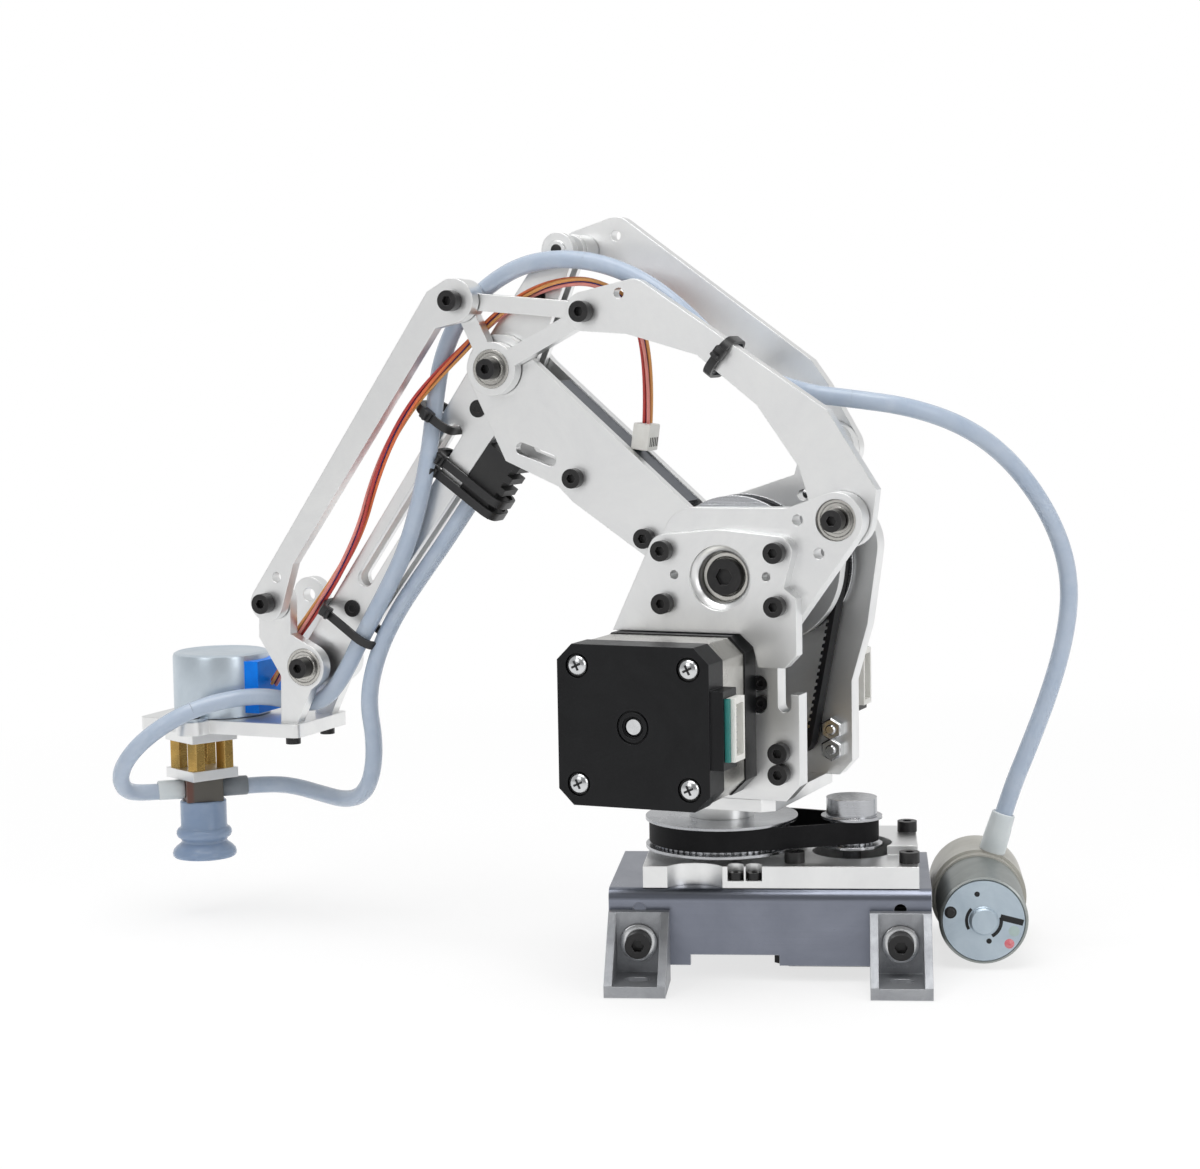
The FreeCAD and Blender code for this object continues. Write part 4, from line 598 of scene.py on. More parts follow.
# %% Silicone, small marks and wires
SILICONE = {"Subsurface_Scale": 0.0015, "Subsurface_Radius": (1, 1, 1)}
finish(
    "cup_silicone", "cup_silicone", (0.26, 0.34, 0.47), (0.22, 0.30, 0.44),
    rough=0.20, span=0.05, bump=0.06, grain=1200.0, marks=120.0,
    Subsurface_Weight=0.35, **SILICONE)
finish(
    "hose_silicone", "hose_silicone", (0.45, 0.515, 0.61), (0.38, 0.455, 0.565),
    rough=0.24, span=0.06, bump=0.05, grain=1200.0, marks=90.0,
    Subsurface_Weight=0.35, **SILICONE)
finish(
    "sleeve_white", "sleeve_white", (0.66, 0.70, 0.71), (0.60, 0.65, 0.67),
    rough=0.40, span=0.06, bump=0.06, grain=1500.0, marks=120.0,
    Subsurface_Weight=0.3, **SILICONE)
finish(
    "sleeve_grey", "sleeve_grey", (0.16, 0.18, 0.20), (0.20, 0.22, 0.24),
    rough=0.42, span=0.06, bump=0.06, grain=1500.0, marks=120.0)
# Near black that stands for the shade inside holes, slots and recesses: painted shade.
finish(
    "recess", "recess_painted_shade", (0.008, 0.008, 0.009), (0.015, 0.015, 0.016),
    rough=0.75, span=0.08, bump=0.05, grain=2000.0, marks=200.0)
finish(
    "teal_board", "teal_board", (0.012, 0.16, 0.15), (0.015, 0.20, 0.18),
    rough=0.40, span=0.08, bump=0.06, grain=1800.0, marks=200.0)
finish(
    "red_paint", "red_paint", (0.62, 0.09, 0.12), (0.70, 0.30, 0.32),
    rough=0.50, span=0.10, bump=0.20, grain=3000.0, marks=900.0)
finish(
    "pale_window", "pale_window", (0.42, 0.52, 0.50), (0.36, 0.45, 0.44),
    rough=0.40, span=0.08, bump=0.06, grain=2000.0, marks=200.0)
for wire, colour in WIRES.items():
    darker = tuple(part * 0.85 for part in colour)
    finish(wire, wire, colour, darker, rough=0.42, span=0.05, bump=0.04, grain=1500.0, marks=120.0)
print("finishes", len(FINISHES))

# %% [markdown]
# ## Two tones on the suction block
# The block is drawn dark brown on one side of a border and grey on the other. The solid is
# one piece, so the border is a mask: the place along one level direction, turned into a step.

# %% Second tone of the block
BORDER_WAY = (0.928, 0.371, 0)
BORDER_FROM, BORDER_TO = -0.1478, -0.1470
BLOCK_GREY = (0.085, 0.078, 0.066)

tree = FINISHES["block_brown"].node_tree
surface = tree.nodes["Principled BSDF"]
brown = surface.inputs["Base Color"].links[0].from_socket
place = tree.nodes.new("ShaderNodeTexCoord")
across = tree.nodes.new("ShaderNodeVectorMath")
across.operation = "DOT_PRODUCT"
across.inputs[1].default_value = BORDER_WAY
border = tree.nodes.new("ShaderNodeMapRange")
set_values(border, From_Min=BORDER_FROM, From_Max=BORDER_TO)
halves = colour_mix(tree, B=BLOCK_GREY)
tree.links.new(place.outputs["Object"], across.inputs[0])
tree.links.new(across.outputs["Value"], border.inputs["Value"])
tree.links.new(border.outputs["Result"], halves.inputs["Factor"])
tree.links.new(brown, halves.inputs["A"])
tree.links.new(halves.outputs["Result"], surface.inputs["Base Color"])
print("block border", round(BORDER_TO - BORDER_FROM, 4), "m wide")

# %% [markdown]
# ## Finishes on the solids
# The record names a material slot for every solid, and most slots are finishes with the
# same name. The strip across the arm is painted dark, as painted shade and reflection, and
# the lever's pin pale, so these two get another finish than their slot. The solid of the
# wires has no finish of its own, because coloured wires replace it below, so it takes the hose's.

# %% Dress the solids
slot_of = {row["node"]: row["material_slot"] for row in frame["record"]["subparts"]}
# painted shade and reflection on the cross strip
slot_of["arm_cross_pieces"] = "dark_strip"
slot_of["lever_pin"] = "plate_aluminium"
for node, solid in solids.items():
    solid.data.materials.clear()
    solid.data.materials.append(FINISHES.get(slot_of[node], FINISHES["hose_silicone"]))
for piece in hoses:
    piece.data.materials.append(FINISHES["hose_silicone"])
print("dressed", len(solids), "solids and", len(hoses), "stretches of hose")

# %% [markdown]
# ## Laying the wires
# Each stretch of the loom is one mesh that holds all five wires. The tubes of the
# wires are joined in one bmesh, and the faces of each tube point to the slot of its colour.

# %% Lay the wires
LOOM_HOLDS = [(-116.6, -6.2, 106.0), (-97.0, -9.0, 144.6), (-42.6, -8.4, 188.6)]
LOOM_STRETCHES = [
    ("wires_past_wrist", ("wrist", "forearm")),
    ("wires_on_forearm", ("forearm",)),
    ("wires_over_elbow", ("forearm", "elbow_link")),
    ("wires_to_plug", ("elbow_link", "upper_arm")),
]
for (name, bodies), (first, last) in zip(LOOM_STRETCHES, cut_line(loom_line, LOOM_HOLDS)):
    bundle = bmesh.new()
    for colour, strand in enumerate(wires_along(loom_line, first, last)):
        start = len(bundle.faces)
        bundle.from_mesh(tube_mesh(strand, WIRE_RADIUS, WIRE_ROUNDNESS))
        bundle.faces.ensure_lookup_table()
        for face in bundle.faces[start:]:
            face.material_index = colour
    mesh = bpy.data.meshes.new(name)
    bundle.to_mesh(mesh)
    bundle.free()
    for wire in WIRES:
        mesh.materials.append(FINISHES[wire])
    part = loom_line[first:last + 1]
    lay_cord(add_piece(name, mesh), part, bodies, "wire_loom")

# %% [markdown]
# ## Small pieces from operators
# The small fittings are mostly turned parts and soft-edged blocks. A turned part is a half
# section that is spun once round its axis, and a block is a cube that is stretched and
# bevelled. A ring is a turned part whose section is closed. Sizes are in millimetres.

# %% Turned shapes and blocks
FRONT, BACK = turn_by(90, "X"), turn_by(-90, "X")


def at(x, y, z):
    return Matrix.Translation((x / 1000, y / 1000, z / 1000))


def turned(section, place, steps=32, closed=False):
    shape = bmesh.new()
    points = [shape.verts.new((radius / 1000, 0, height / 1000)) for radius, height in section]
    ends = points[1:] + points[:1] if closed else points[1:]
    edges = [shape.edges.new(pair) for pair in zip(points, ends)]
    bmesh.ops.spin(
        shape, geom=points + edges, cent=(0, 0, 0), axis=(0, 0, 1), dvec=(0, 0, 0),
        angle=math.tau, steps=steps, use_merge=True,
    )
    bmesh.ops.remove_doubles(shape, verts=shape.verts, dist=1e-7)
    bmesh.ops.recalc_face_normals(shape, faces=shape.faces)
    bmesh.ops.transform(shape, matrix=place, verts=shape.verts)
    return shape


def ring(section, place, steps=40):
    return turned(section, place, steps, closed=True)


def stretched_cube(size):
    shape = bmesh.new()
    bmesh.ops.create_cube(shape, size=1.0)
    bmesh.ops.scale(shape, vec=[side / 1000 for side in size], verts=shape.verts)
    return shape


def soften(shape, edges, offset, segments):
    bmesh.ops.bevel(
        shape, geom=edges, offset=offset / 1000, affect="EDGES",
        segments=segments, profile=0.5, material=-1,
    )


def block(size, place, soft=0.0):
    shape = stretched_cube(size)
    if soft:
        soften(shape, shape.edges[:], soft, 2)
    bmesh.ops.transform(shape, matrix=place, verts=shape.verts)
    return shape


print("front is", tuple(round(part) for part in FRONT @ Vector((0, 0, 1))))

# %% [markdown]
# ## Fittings
# A fitting is one mesh that rides on one body of the arm. It joins several shapes, each
# with its own finish. Faces are smooth, and edges sharper than 35 degrees stay crisp.

# %% Join shapes into a fitting
SHARP_FROM = math.radians(35)


def fitting(name, parts, body):
    mesh = bpy.data.meshes.new(name)
    whole = bmesh.new()
    used = []
    for shape, look in parts:
        if look not in used:
            used.append(look)
            mesh.materials.append(FINISHES[look])
        for face in shape.faces:
            face.material_index = used.index(look)
        loose = bpy.data.meshes.new("loose")
        shape.to_mesh(loose)
        shape.free()
        whole.from_mesh(loose)
        bpy.data.meshes.remove(loose)
    whole.to_mesh(mesh)
    whole.free()
    mesh.shade_smooth()
    mesh.set_sharp_from_angle(angle=SHARP_FROM)
    piece = add_piece(name, mesh)
    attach(piece, body)
    print(name, len(mesh.polygons), "faces on", body)
    return piece


print("sharp from", round(SHARP_FROM, 3), "radians")

# %% [markdown]
# ## Motor details
# Each motor is held together by four zinc-plated cross-head screws, its shaft ends in the
# middle of the cover, and a small board with six pins stands in its connector. The screw
# heads are low domes, and two dark bars are painted shade that stands for the cross recess.

# %% Motor screws, shaft ends and connectors
MOTOR_X, MOTOR_Z, SCREW_REACH = -2.0, 73.9, 15.5
DOME = [(0, 0.95), (1.1, 0.9), (2.0, 0.65), (2.6, 0.15), (2.7, -0.2), (0, -0.2)]
CROSS_BAR, CROSS_HEIGHT, CROSS_ANGLES = (2.7, 0.6, 0.3), 0.82, (25, 115)
BOARD, BOARD_X = (1.2, 1.3, 16.2), 23.3
PIN, PIN_X, PIN_COUNT, PIN_PITCH, LOWEST_PIN = (2.6, 0.6, 0.6), 22.9, 6, 2, MOTOR_Z - 5
heads, contacts = [], []
for seat, board_y, pin_y, turn in ((-56.8, -54.75, -50.5, FRONT), (60.8, 58.75, 54.5, BACK)):
    for x in (-SCREW_REACH, SCREW_REACH):
        for z in (-SCREW_REACH, SCREW_REACH):
            place = TURRET @ at(MOTOR_X + x, seat, MOTOR_Z + z) @ turn
            heads.append((turned(DOME, place, 24), "zinc"))
            for angle in CROSS_ANGLES:
                bar = place @ at(0, 0, CROSS_HEIGHT) @ turn_by(angle, "Z")
                # dark bars: painted shade of the cross recess
                heads.append((block(CROSS_BAR, bar), "recess"))
    contacts.append((block(BOARD, TURRET @ at(BOARD_X, board_y, MOTOR_Z)), "teal_board"))
    for step in range(PIN_COUNT):
        place = TURRET @ at(PIN_X, pin_y, LOWEST_PIN + PIN_PITCH * step)
        contacts.append((block(PIN, place, 0.1), "zinc"))
fitting("motor_screw_heads", heads, "turret")
fitting("connector_contacts", contacts, "turret")

SHAFT_END = [(0, 0), (2.0, 0), (2.45, -0.45), (2.45, -12), (0, -12)]
for name, y, turn, body in (
    ("shoulder_motor_shaft", -56.5, FRONT, "shoulder_rotor"),
    ("crank_motor_shaft", 60.5, BACK, "crank_rotor"),
):
    shaft = turned(SHAFT_END, TURRET @ at(MOTOR_X, y, MOTOR_Z) @ turn)
    fitting(name, [(shaft, "zinc")], body)

# %% [markdown]
# ## Bearing faces
# The pivots turn in small ball bearings whose polished rings show round the black screw
# heads. Each ring face is one turned section: outer ring, sunken shield, inner ring. The
# shoulder's bore is wider, and a dished ring holds its bearing.

# %% Bearing rings
RACE = [
    (2.5, 0), (2.5, 0.14), (3.5, 0.14), (3.6, 0.03), (4.5, 0.03), (4.6, 0.14),
    (5.35, 0.14), (5.5, 0),
]
DISH = [(6.9, 0.05), (6.9, 2.9), (7.1, 3.2), (8.3, 4.3), (8.65, 4.4), (8.65, 0.05)]
INNER_RING = [(5.15, 0.05), (5.15, 0.5), (5.4, 0.7), (6.3, 0.7), (6.55, 0.5), (6.55, 0.05)]
ELBOW, WRIST, EAR = (-62.78, 165.47), (-125.70, 79.18), (41.76, 125.40)
LINK_FACE, TURRET_FRONT, TURRET_BACK = 12.0, -22.0, 26.0


def race_at(pivot, y, turn):
    return ring(RACE, TURRET @ at(pivot[0], y, pivot[1]) @ turn), "bearing_steel"


elbow_face = race_at(ELBOW, -LINK_FACE, FRONT)
fitting("elbow_bearing_face", [elbow_face], "elbow_link")
wrist_faces = [race_at(WRIST, -LINK_FACE, FRONT), race_at(WRIST, LINK_FACE, BACK)]
fitting("wrist_bearing_faces", wrist_faces, "wrist")
shoulder_rings = [race_at(EAR, TURRET_FRONT, FRONT)]
for y, turn in ((TURRET_FRONT, FRONT), (TURRET_BACK, BACK)):
    place = TURRET @ at(SHOULDER[0], y, SHOULDER[1]) @ turn
    shoulder_rings.append((ring(DISH, place, 64), "plate_aluminium"))
    shoulder_rings.append((ring(INNER_RING, place, 64), "bearing_steel"))
fitting("shoulder_rings", shoulder_rings, "turret")

# %% [markdown]
# ## Washers, a small screw and nuts
# The feet have bright washers under their bolts, the lever's pin ends in a low black
# screw, and two hex nuts sit on the rear plate. A nut is a cone with six sides and equal
# ends whose upper rim is bevelled, and the bolt's end stands out of it.

# %% Washers, pin screw and nuts
WASHER = [(3.55, 0), (3.55, 0.1), (4.8, 0.1), (5.0, 0)]
FOOT_X, FOOT_FACE, FOOT_BOLT = 35.1, 31.0, 11.2
washers = [
    (ring(WASHER, at(x, y, FOOT_BOLT) @ turn), "zinc")
    for x in (-FOOT_X, FOOT_X) for y, turn in ((-FOOT_FACE, FRONT), (FOOT_FACE, BACK))
]
fitting("foot_washer_faces", washers, "base")

PIN_SCREW = [(0, 0.18), (1.2, 0.3), (1.5, 0.2), (1.6, 0), (0, 0)]
LEVER_PIN = (-44.42, -6.9, 198.05)
pin_screw = turned(PIN_SCREW, TURRET @ at(*LEVER_PIN) @ FRONT, 24)
fitting("lever_pin_screw", [(pin_screw, "black_screw")], "lever_pin")

NUT_ACROSS, NUT_HEIGHT, NUT_RIM = 5.7, 3.15, 0.4
NUT_PLACES = [(26.0, 21.0, 63.5), (26.0, 21.0, 57.8)]
BOLT_END = [(0, 3.9), (1.1, 3.9), (1.45, 3.5), (1.45, 3.0), (0, 3.0)]


def hex_nut(place):
    nut = bmesh.new()
    radius = NUT_ACROSS / math.sqrt(3) / 1000
    bmesh.ops.create_cone(
        nut, cap_ends=True, segments=6, radius1=radius, radius2=radius, depth=NUT_HEIGHT / 1000,
        matrix=at(0, 0, NUT_HEIGHT / 2),
    )
    near_top = 0.9 * NUT_HEIGHT / 1000
    rim = [edge for edge in nut.edges if all(vertex.co.z > near_top for vertex in edge.verts)]
    soften(nut, rim, NUT_RIM, 1)
    bmesh.ops.transform(nut, matrix=place, verts=nut.verts)
    return nut


nuts = []
for seat in NUT_PLACES:
    place = TURRET @ at(*seat) @ FRONT
    nuts.append((hex_nut(place), "zinc"))
    nuts.append((turned(BOLT_END, place, 20), "zinc"))
fitting("rear_plate_nuts", nuts, "turret")

# %% [markdown]
# ## Belt teeth
# The rear belt runs round a brass post, so its straight right side shows its teeth from
# the front. The inner side of that run is the common tangent of the post and the large
# pulley, and one small soft bar per tooth sits along it.

# %% Teeth on the rear belt
POST, PULLEY = Vector((17.1, 61.4)), Vector(SHOULDER)
POST_R, PULLEY_R = 3.55, 18.9
BELT_Y, BELT_PITCH = 16.3, 2
TOOTH, TOOTH_INSET = (0.8, 5.9, 1.0), 0.3
run = PULLEY - POST
lean = (POST_R - PULLEY_R) / run.length
along_run = run.normalized()
outward = along_run * lean + Vector((along_run.y, -along_run.x)) * math.sqrt(1 - lean ** 2)
low, high = POST + outward * POST_R, PULLEY + outward * PULLEY_R
tilt = Matrix.Rotation(math.atan2(high.x - low.x, high.y - low.y), 4, "Y")
count = int((high - low).length / BELT_PITCH)
teeth = []
for step in range(count):
    middle = low.lerp(high, (step + 0.5) / count) - outward * TOOTH_INSET
    place = TURRET @ at(middle.x, BELT_Y, middle.y) @ tilt
    teeth.append((block(TOOTH, place, 0.15), "belt_rubber"))
fitting("rear_belt_teeth", teeth, "turret")

# %% [markdown]
# ## The pump's motor
# The pump lies beside the base with its plated end cap towards the viewer. The can is one
# turned section with a rolled edge. The cap's slots are flat dark ring sectors of painted shade:
# an edge that is spun through part of a turn and then extruded. Dark spots, a dark ring round
# the screw and a dark bar at the terminal are painted shade of holes and a slot too. A dab of
# red paint marks the cap.

# %% Slots and spots on the cap
PUMP_X, PUMP_Z = 57.9, 13.5
PUMP = at(PUMP_X, 15.0, PUMP_Z) @ FRONT
CAP_HEIGHT, MARK_RISE = 27.6, 0.06
cap_face = PUMP @ at(0, 0, CAP_HEIGHT)


def sector(inner, outer, start, sweep):
    shape = bmesh.new()
    points = [shape.verts.new((radius / 1000, 0, 0)) for radius in (inner, outer)]
    edge = shape.edges.new(points)
    bmesh.ops.spin(
        shape, geom=points + [edge], cent=(0, 0, 0), axis=(0, 0, 1), dvec=(0, 0, 0),
        angle=math.radians(sweep), steps=14,
    )
    top = bmesh.ops.extrude_face_region(shape, geom=shape.faces[:])["geom"]
    lifted = [item for item in top if isinstance(item, bmesh.types.BMVert)]
    bmesh.ops.translate(shape, vec=(0, 0, MARK_RISE / 1000), verts=lifted)
    bmesh.ops.recalc_face_normals(shape, faces=shape.faces)
    bmesh.ops.transform(shape, matrix=cap_face @ turn_by(start, "Z"), verts=shape.verts)
    return shape


def spot(radius, x, y, rise=MARK_RISE):
    dot = [(0, rise), (radius * 0.9, rise), (radius, 0), (0, 0)]
    return turned(dot, PUMP @ at(x, y, CAP_HEIGHT), 24)


print("cap face at", tuple(round(part, 4) for part in cap_face.translation))

# %% Can and end cap of the pump
CAN = [
    (0, 0), (12.2, 0), (12.2, 26.3), (12.0, 27.0), (11.5, 27.3), (11.3, 27.2),
    (11.2, 26.9), (0, 26.9),
]
CAP = [
    (0, 27.0), (11.1, 27.0), (11.1, CAP_HEIGHT), (4.0, CAP_HEIGHT), (3.8, 27.8),
    (3.75, 28.7), (3.3, 29.15), (0, 29.2),
]
terminal_place = cap_face @ at(7.6, 0.3, 0) @ turn_by(-14, "Z")
can_parts = [
    (turned(CAN, PUMP, 64), "pump_can"),
    (turned(CAP, PUMP, 64), "plated_cap"),
    # recess pieces: painted shade in the cap's slots and holes
    (sector(4.25, 5.1, 135, 75), "recess"),
    (sector(4.25, 5.2, -62, 74), "recess"),
    (block((6.4, 1.7, 0.12), terminal_place, 0.04), "recess"),
    (spot(0.75, -1.8, 7.4), "recess"),
    (spot(0.75, 1.4, -5.6), "recess"),
    (spot(1.7, -9.0, 2.3), "recess"),
    (spot(1.2, -9.0, 2.3, 0.25), "black_screw"),
    (spot(1.5, 8.2, -2.8), "pale_window"),
    (spot(1.35, 6.9, -6.3), "red_paint"),
]
pump_can = fitting("pump_can", can_parts, "base")
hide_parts("pump_motor")

# %% [markdown]
# ## Sleeves on the nozzles
# A short white sleeve joins the hose to the pump's nozzle, and two shorter sleeves grip
# the barbs of the suction block. Each is a turned tube with softened ends.

# %% Hose sleeves
SLEEVE = [(2.6, 0), (2.6, 11.2), (3.0, 11.6), (3.3, 11.3), (3.6, 6.0), (3.75, 0.4), (3.5, 0)]
NOZZLE_Y, NOZZLE_LEAN, NOZZLE_START = 20.0, 17, 13.3
nozzle = at(PUMP_X, NOZZLE_Y, PUMP_Z) @ turn_by(NOZZLE_LEAN, "Y") @ at(0, 0, NOZZLE_START)
nozzle_sleeve = ring(SLEEVE, nozzle, 32)
fitting("nozzle_sleeve", [(nozzle_sleeve, "sleeve_white")], "base")

TOOL = TURRET @ at(-169.5, 0, 0) @ turn_by(40, "Z")
BARB_SLEEVE = [(2.45, 0), (2.45, 7.6), (2.75, 7.9), (2.95, 7.6), (3.0, 0.4), (2.8, 0)]
BARB_HEIGHT, BARB_START = 39.0, 5.7
sleeves = []
for angle, look in ((-90, "sleeve_white"), (90, "sleeve_grey")):
    place = TOOL @ at(0, 0, BARB_HEIGHT) @ turn_by(angle, "Y") @ at(0, 0, BARB_START)
    sleeves.append((ring(BARB_SLEEVE, place, 32), look))
fitting("barb_sleeves", sleeves, "tool")

# %% [markdown]
# ## The suction cup
# The cup is soft silicone with one bellow and a flared lip. Its wall is one half section,
# outside and inside in one line, and spinning that line gives the folds their round form.

# %% Cup
CUP = [
    (0, 17.7), (6.6, 17.7), (7.0, 17.3), (7.0, 10.0), (7.25, 9.3), (7.9, 8.9), (8.35, 8.2),
    (8.4, 7.4), (8.1, 6.6), (7.3, 6.0), (6.9, 5.4), (6.9, 4.9), (7.4, 4.3), (8.5, 3.5),
    (9.4, 2.5), (9.7, 1.5), (9.6, 0.8), (9.2, 0.35), (8.8, 0.5), (7.4, 2.6), (6.0, 4.2),
    (5.7, 5.2), (6.4, 7.2), (5.6, 9.2), (2.4, 10.4), (2.2, 13.0), (0, 13.0),
]
CUP_LIP = 17.75
cup_shape = turned(CUP, TOOL @ at(0, 0, CUP_LIP), 48)
cup = fitting("soft_cup", [(cup_shape, "cup_silicone")], "tool")
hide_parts("suction_cup")

# %% [markdown]
# ## Cable ties
# Black nylon ties hold the hose and the valve to the links. A tie is a cube without its
# ends: its upright edges are bevelled round, the band is solidified, and a lock head and
# the cut-off tail are added as soft blocks.

# %% Make a tie
BAND_WIDTH, BAND_WALL, BAND_ROUND = 2.4, 0.0009, 0.3
LOCK, TAIL, TAIL_PLACE = (3.6, 2.8, 3.2), (0.9, 2.6, 2.2), at(0.6, -1.9, 0)


def upright_edges(shape):
    return [edge for edge in shape.edges if abs(edge.verts[0].co.z - edge.verts[1].co.z) > 0.0005]


def tie(place, width, height, head):
    band = stretched_cube((width, height, BAND_WIDTH))
    ends = [face for face in band.faces if abs(face.normal.z) > 0.9]
    bmesh.ops.delete(band, geom=ends, context="FACES_ONLY")
    soften(band, upright_edges(band), min(width, height) * BAND_ROUND, 6)
    bmesh.ops.recalc_face_normals(band, faces=band.faces)
    bmesh.ops.solidify(band, geom=band.faces[:], thickness=-BAND_WALL)
    bmesh.ops.recalc_face_normals(band, faces=band.faces)
    bmesh.ops.transform(band, matrix=place, verts=band.verts)
    x, y, angle = head
    lock = place @ at(x, y, 0) @ turn_by(angle, "Z")
    shapes = (band, block(LOCK, lock, 0.5), block(TAIL, lock @ TAIL_PLACE, 0.2))
    return [(shape, "tie_nylon") for shape in shapes]


print("band", BAND_WIDTH, "mm wide")

# %% [markdown]
# ## Ties on the forearm and the rod
# The forearm leans 36.1 degrees, so a tie's place is given along the forearm, as a
# distance from the elbow and an offset to its side. Each row then has the depth, the size
# of the loop and the place and angle of the lock head.

# %% Ties
LEAN_SIN, LEAN_COS, FOREARM_TURN = 0.5892, 0.8080, turn_by(36.1, "Y")
FOREARM_TIES = [
    (22.8, -7.9, -2.6, 11.8, 15.0, (-1.6, -7.9, 0)),
    (32.4, 8.9, 0.0, 24.6, 10.2, (-10.0, -5.5, 0)),
    (36.4, 8.9, 0.0, 24.6, 10.2, (-10.0, -5.5, 0)),
    (89.5, 2.8, -2.9, 19.4, 14.4, (-7.0, -7.2, 25)),
]
ties = []
for distance, offset, y, width, height, head in FOREARM_TIES:
    x = ELBOW[0] - LEAN_SIN * distance + LEAN_COS * offset
    z = ELBOW[1] - LEAN_COS * distance - LEAN_SIN * offset
    ties += tie(TURRET @ at(x, y, z) @ FOREARM_TURN, width, height, head)
fitting("forearm_ties", ties, "forearm")
ROD_LEAN = turn_by(38, "Y") @ turn_by(90, "Y")
rod_place = TURRET @ at(7.0, -11.9, 168.0) @ ROD_LEAN
fitting("rod_tie", tie(rod_place, 10.4, 11.4, (-1.4, -6.2, 0)), "level_rod")

# %% [markdown]
# ## The wires' plug
# The wires end in a small white plug on the arm's cross strip. It is a soft block with
# five slots painted dark as their shade, one for each wire.

# %% Plug
PLUG, PLUG_SLOT = (5.2, 7.6, 7.4), (5.4, 0.5, 2.6)
FIRST_SLOT, SLOT_PITCH, SLOT_Z = -2.4, 1.2, -1.2
plug_place = TURRET @ at(-21.0, -0.6, 146.2) @ turn_by(8, "Y")
plug_parts = [(block(PLUG, plug_place, 0.5), "plug_white")]
for step in range(len(WIRES)):
    place = plug_place @ at(0, FIRST_SLOT + SLOT_PITCH * step, SLOT_Z)
    # slots: painted shade
    plug_parts.append((block(PLUG_SLOT, place, 0.1), "recess"))
fitting("wire_plug", plug_parts, "upper_arm")

# %% [markdown]
# ## The tool motor
# The tool motor is a drawn can with a rounded rim, on a thin plate with two ears. A cube
# whose upright edges are bevelled by almost half its width gives the plate its round ends.

# %% Drawn can
CAN_PLACE = TURRET @ at(-161.5, 0, 62.5)
DRAWN = [
    (0, 0.2), (14.4, 0.2), (14.5, 0.5), (14.5, 17.6), (14.2, 18.5), (13.4, 18.95),
    (12.6, 19.0), (12.3, 18.8), (0, 18.8),
]
EAR_PLATE, EAR_ROUND = (7.2, 42.2, 0.8), 3.55
plate = stretched_cube(EAR_PLATE)
soften(plate, upright_edges(plate), EAR_ROUND, 10)
bmesh.ops.transform(plate, matrix=CAN_PLACE @ at(0, 0, 0.4), verts=plate.verts)
drawn_parts = [(turned(DRAWN, CAN_PLACE, 72), "pale_can"), (plate, "pale_can")]
drawn_can = fitting("drawn_can", drawn_parts, "wrist")
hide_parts("tool_motor")

# %% [markdown]
# ## The floor
# The floor is a pale sheet that shows the shadow near the arm and fades to the white of
# the background further out, so no horizon is seen. Only the camera, reflections and rays
# through clear things see that white. The soft light that the floor sends back to the arm
# is that of plain paint.

# %% Floor sheet
FLOOR_REACH, FLOOR_HEIGHT = 4.0, -0.0002
floor_mesh = bpy.data.meshes.new("floor")
sheet = bmesh.new()
bmesh.ops.create_grid(sheet, x_segments=1, y_segments=1, size=FLOOR_REACH)
bmesh.ops.translate(sheet, verts=sheet.verts, vec=(0, 0, FLOOR_HEIGHT))
sheet.to_mesh(floor_mesh)
sheet.free()
floor = add_piece("floor", floor_mesh)
print("floor", tuple(floor.dimensions))

# %% Floor paint
def math_node(tree, operation):
    node = tree.nodes.new("ShaderNodeMath")
    node.operation = operation
    return node


pale = bpy.data.materials.new("pale_floor")
pale.use_nodes = True
tree = pale.node_tree
link = tree.links.new
paint = tree.nodes["Principled BSDF"]
set_values(paint, Base_Color=(0.93, 0.93, 0.93, 1), Roughness=0.9, Specular_IOR_Level=0.0)
white = tree.nodes.new("ShaderNodeEmission")
rays = tree.nodes.new("ShaderNodeLightPath")
seen, seen_too = math_node(tree, "MAXIMUM"), math_node(tree, "MAXIMUM")
place = tree.nodes.new("ShaderNodeTexCoord")
away = tree.nodes.new("ShaderNodeVectorMath")
away.operation = "LENGTH"
fade = tree.nodes.new("ShaderNodeMapRange")
set_values(fade, From_Min=0.15, From_Max=0.55, To_Min=0.72, To_Max=1.0)
share = math_node(tree, "MULTIPLY")
blended = tree.nodes.new("ShaderNodeMixShader")
link(rays.outputs["Is Camera Ray"], seen.inputs[0])
link(rays.outputs["Is Glossy Ray"], seen.inputs[1])
link(seen.outputs["Value"], seen_too.inputs[0])
link(rays.outputs["Is Transmission Ray"], seen_too.inputs[1])
link(seen_too.outputs["Value"], share.inputs[0])
link(place.outputs["Object"], away.inputs[0])
link(away.outputs["Value"], fade.inputs["Value"])
link(fade.outputs["Result"], share.inputs[1])
link(share.outputs["Value"], blended.inputs[0])
link(paint.outputs["BSDF"], blended.inputs[1])
link(white.outputs["Emission"], blended.inputs[2])
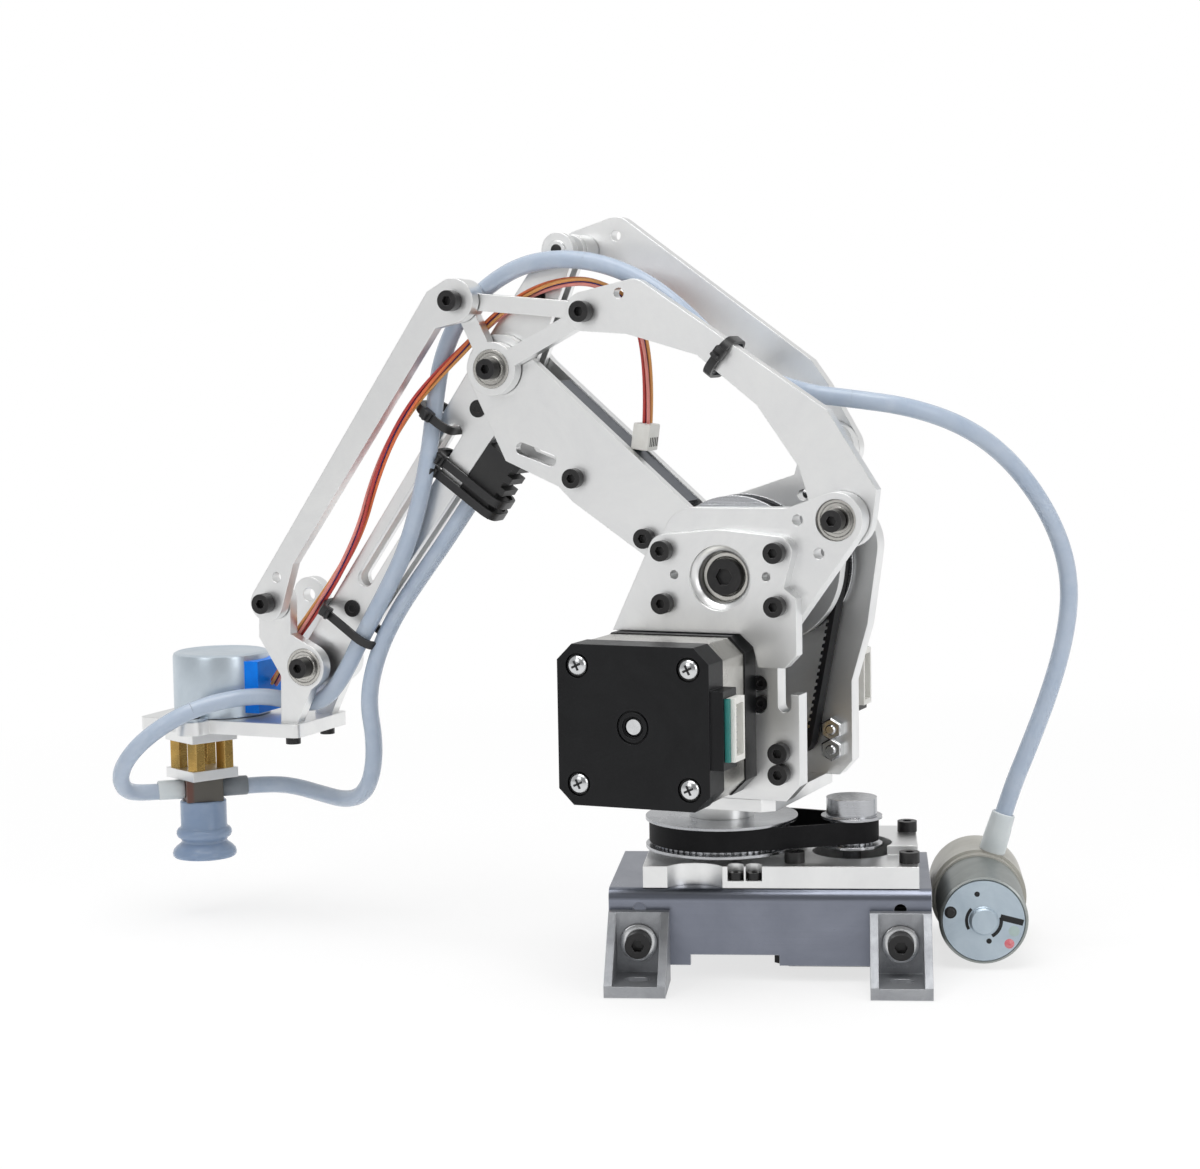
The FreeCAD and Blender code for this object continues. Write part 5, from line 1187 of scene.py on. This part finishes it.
link(blended.outputs["Shader"], tree.nodes["Material Output"].inputs["Surface"])
floor_mesh.materials.append(pale)
print("floor paint", pale.name)

# %% [markdown]
# ## Backdrop and light
# The background is plain white. The light that falls on the arm stays plain: one large
# soft box above, a fill from the right and a weaker one from the front left. The sky is
# darker behind the lens, which gives the metal its tones.

# %% Sky
world = bpy.data.worlds.new("studio")
bpy.context.scene.world = world
world.use_nodes = True
tree = world.node_tree
link = tree.links.new
sky = set_values(tree.nodes["Background"], Color=(1, 1, 1, 1))
way = tree.nodes.new("ShaderNodeTexCoord")
parts = tree.nodes.new("ShaderNodeSeparateXYZ")
depth = tree.nodes.new("ShaderNodeMapRange")
set_values(depth, From_Min=-1.0, From_Max=0.5, To_Min=0.26, To_Max=0.76)
rays = tree.nodes.new("ShaderNodeLightPath")
shade = math_node(tree, "MAXIMUM")
link(way.outputs["Generated"], parts.inputs["Vector"])
link(parts.outputs["Y"], depth.inputs["Value"])
link(depth.outputs["Result"], shade.inputs[0])
link(rays.outputs["Is Camera Ray"], shade.inputs[1])
link(shade.outputs["Value"], sky.inputs["Strength"])
print("sky", world.name)

# %% Lamps
def soft_box(name, place, aim, size, power):
    lamp = bpy.data.lights.new(name, "AREA")
    lamp.shape = "RECTANGLE"
    lamp.size, lamp.size_y = size
    lamp.energy = power
    box = bpy.data.objects.new(name, lamp)
    box.location = place
    box.rotation_euler = (Vector(aim) - Vector(place)).to_track_quat("-Z", "Y").to_euler()
    bpy.context.scene.collection.objects.link(box)


soft_box("box_above", (-0.1, -0.25, 1.1), (-0.05, 0, 0.1), (0.9, 0.7), 7.0)
soft_box("box_right", (0.9, -0.7, 0.5), (0, 0, 0.1), (0.5, 0.7), 3.2)
soft_box("box_left", (-0.66, -0.92, 0.64), (-0.05, 0, 0.14), (0.4, 0.6), 1.9)
bpy.context.scene.view_settings.view_transform = "Standard"
print("lamps", len(bpy.data.lights))

# %% [markdown]
# ## The last update
# The view layer is updated once more.

# %% Finish
bpy.context.view_layer.update()
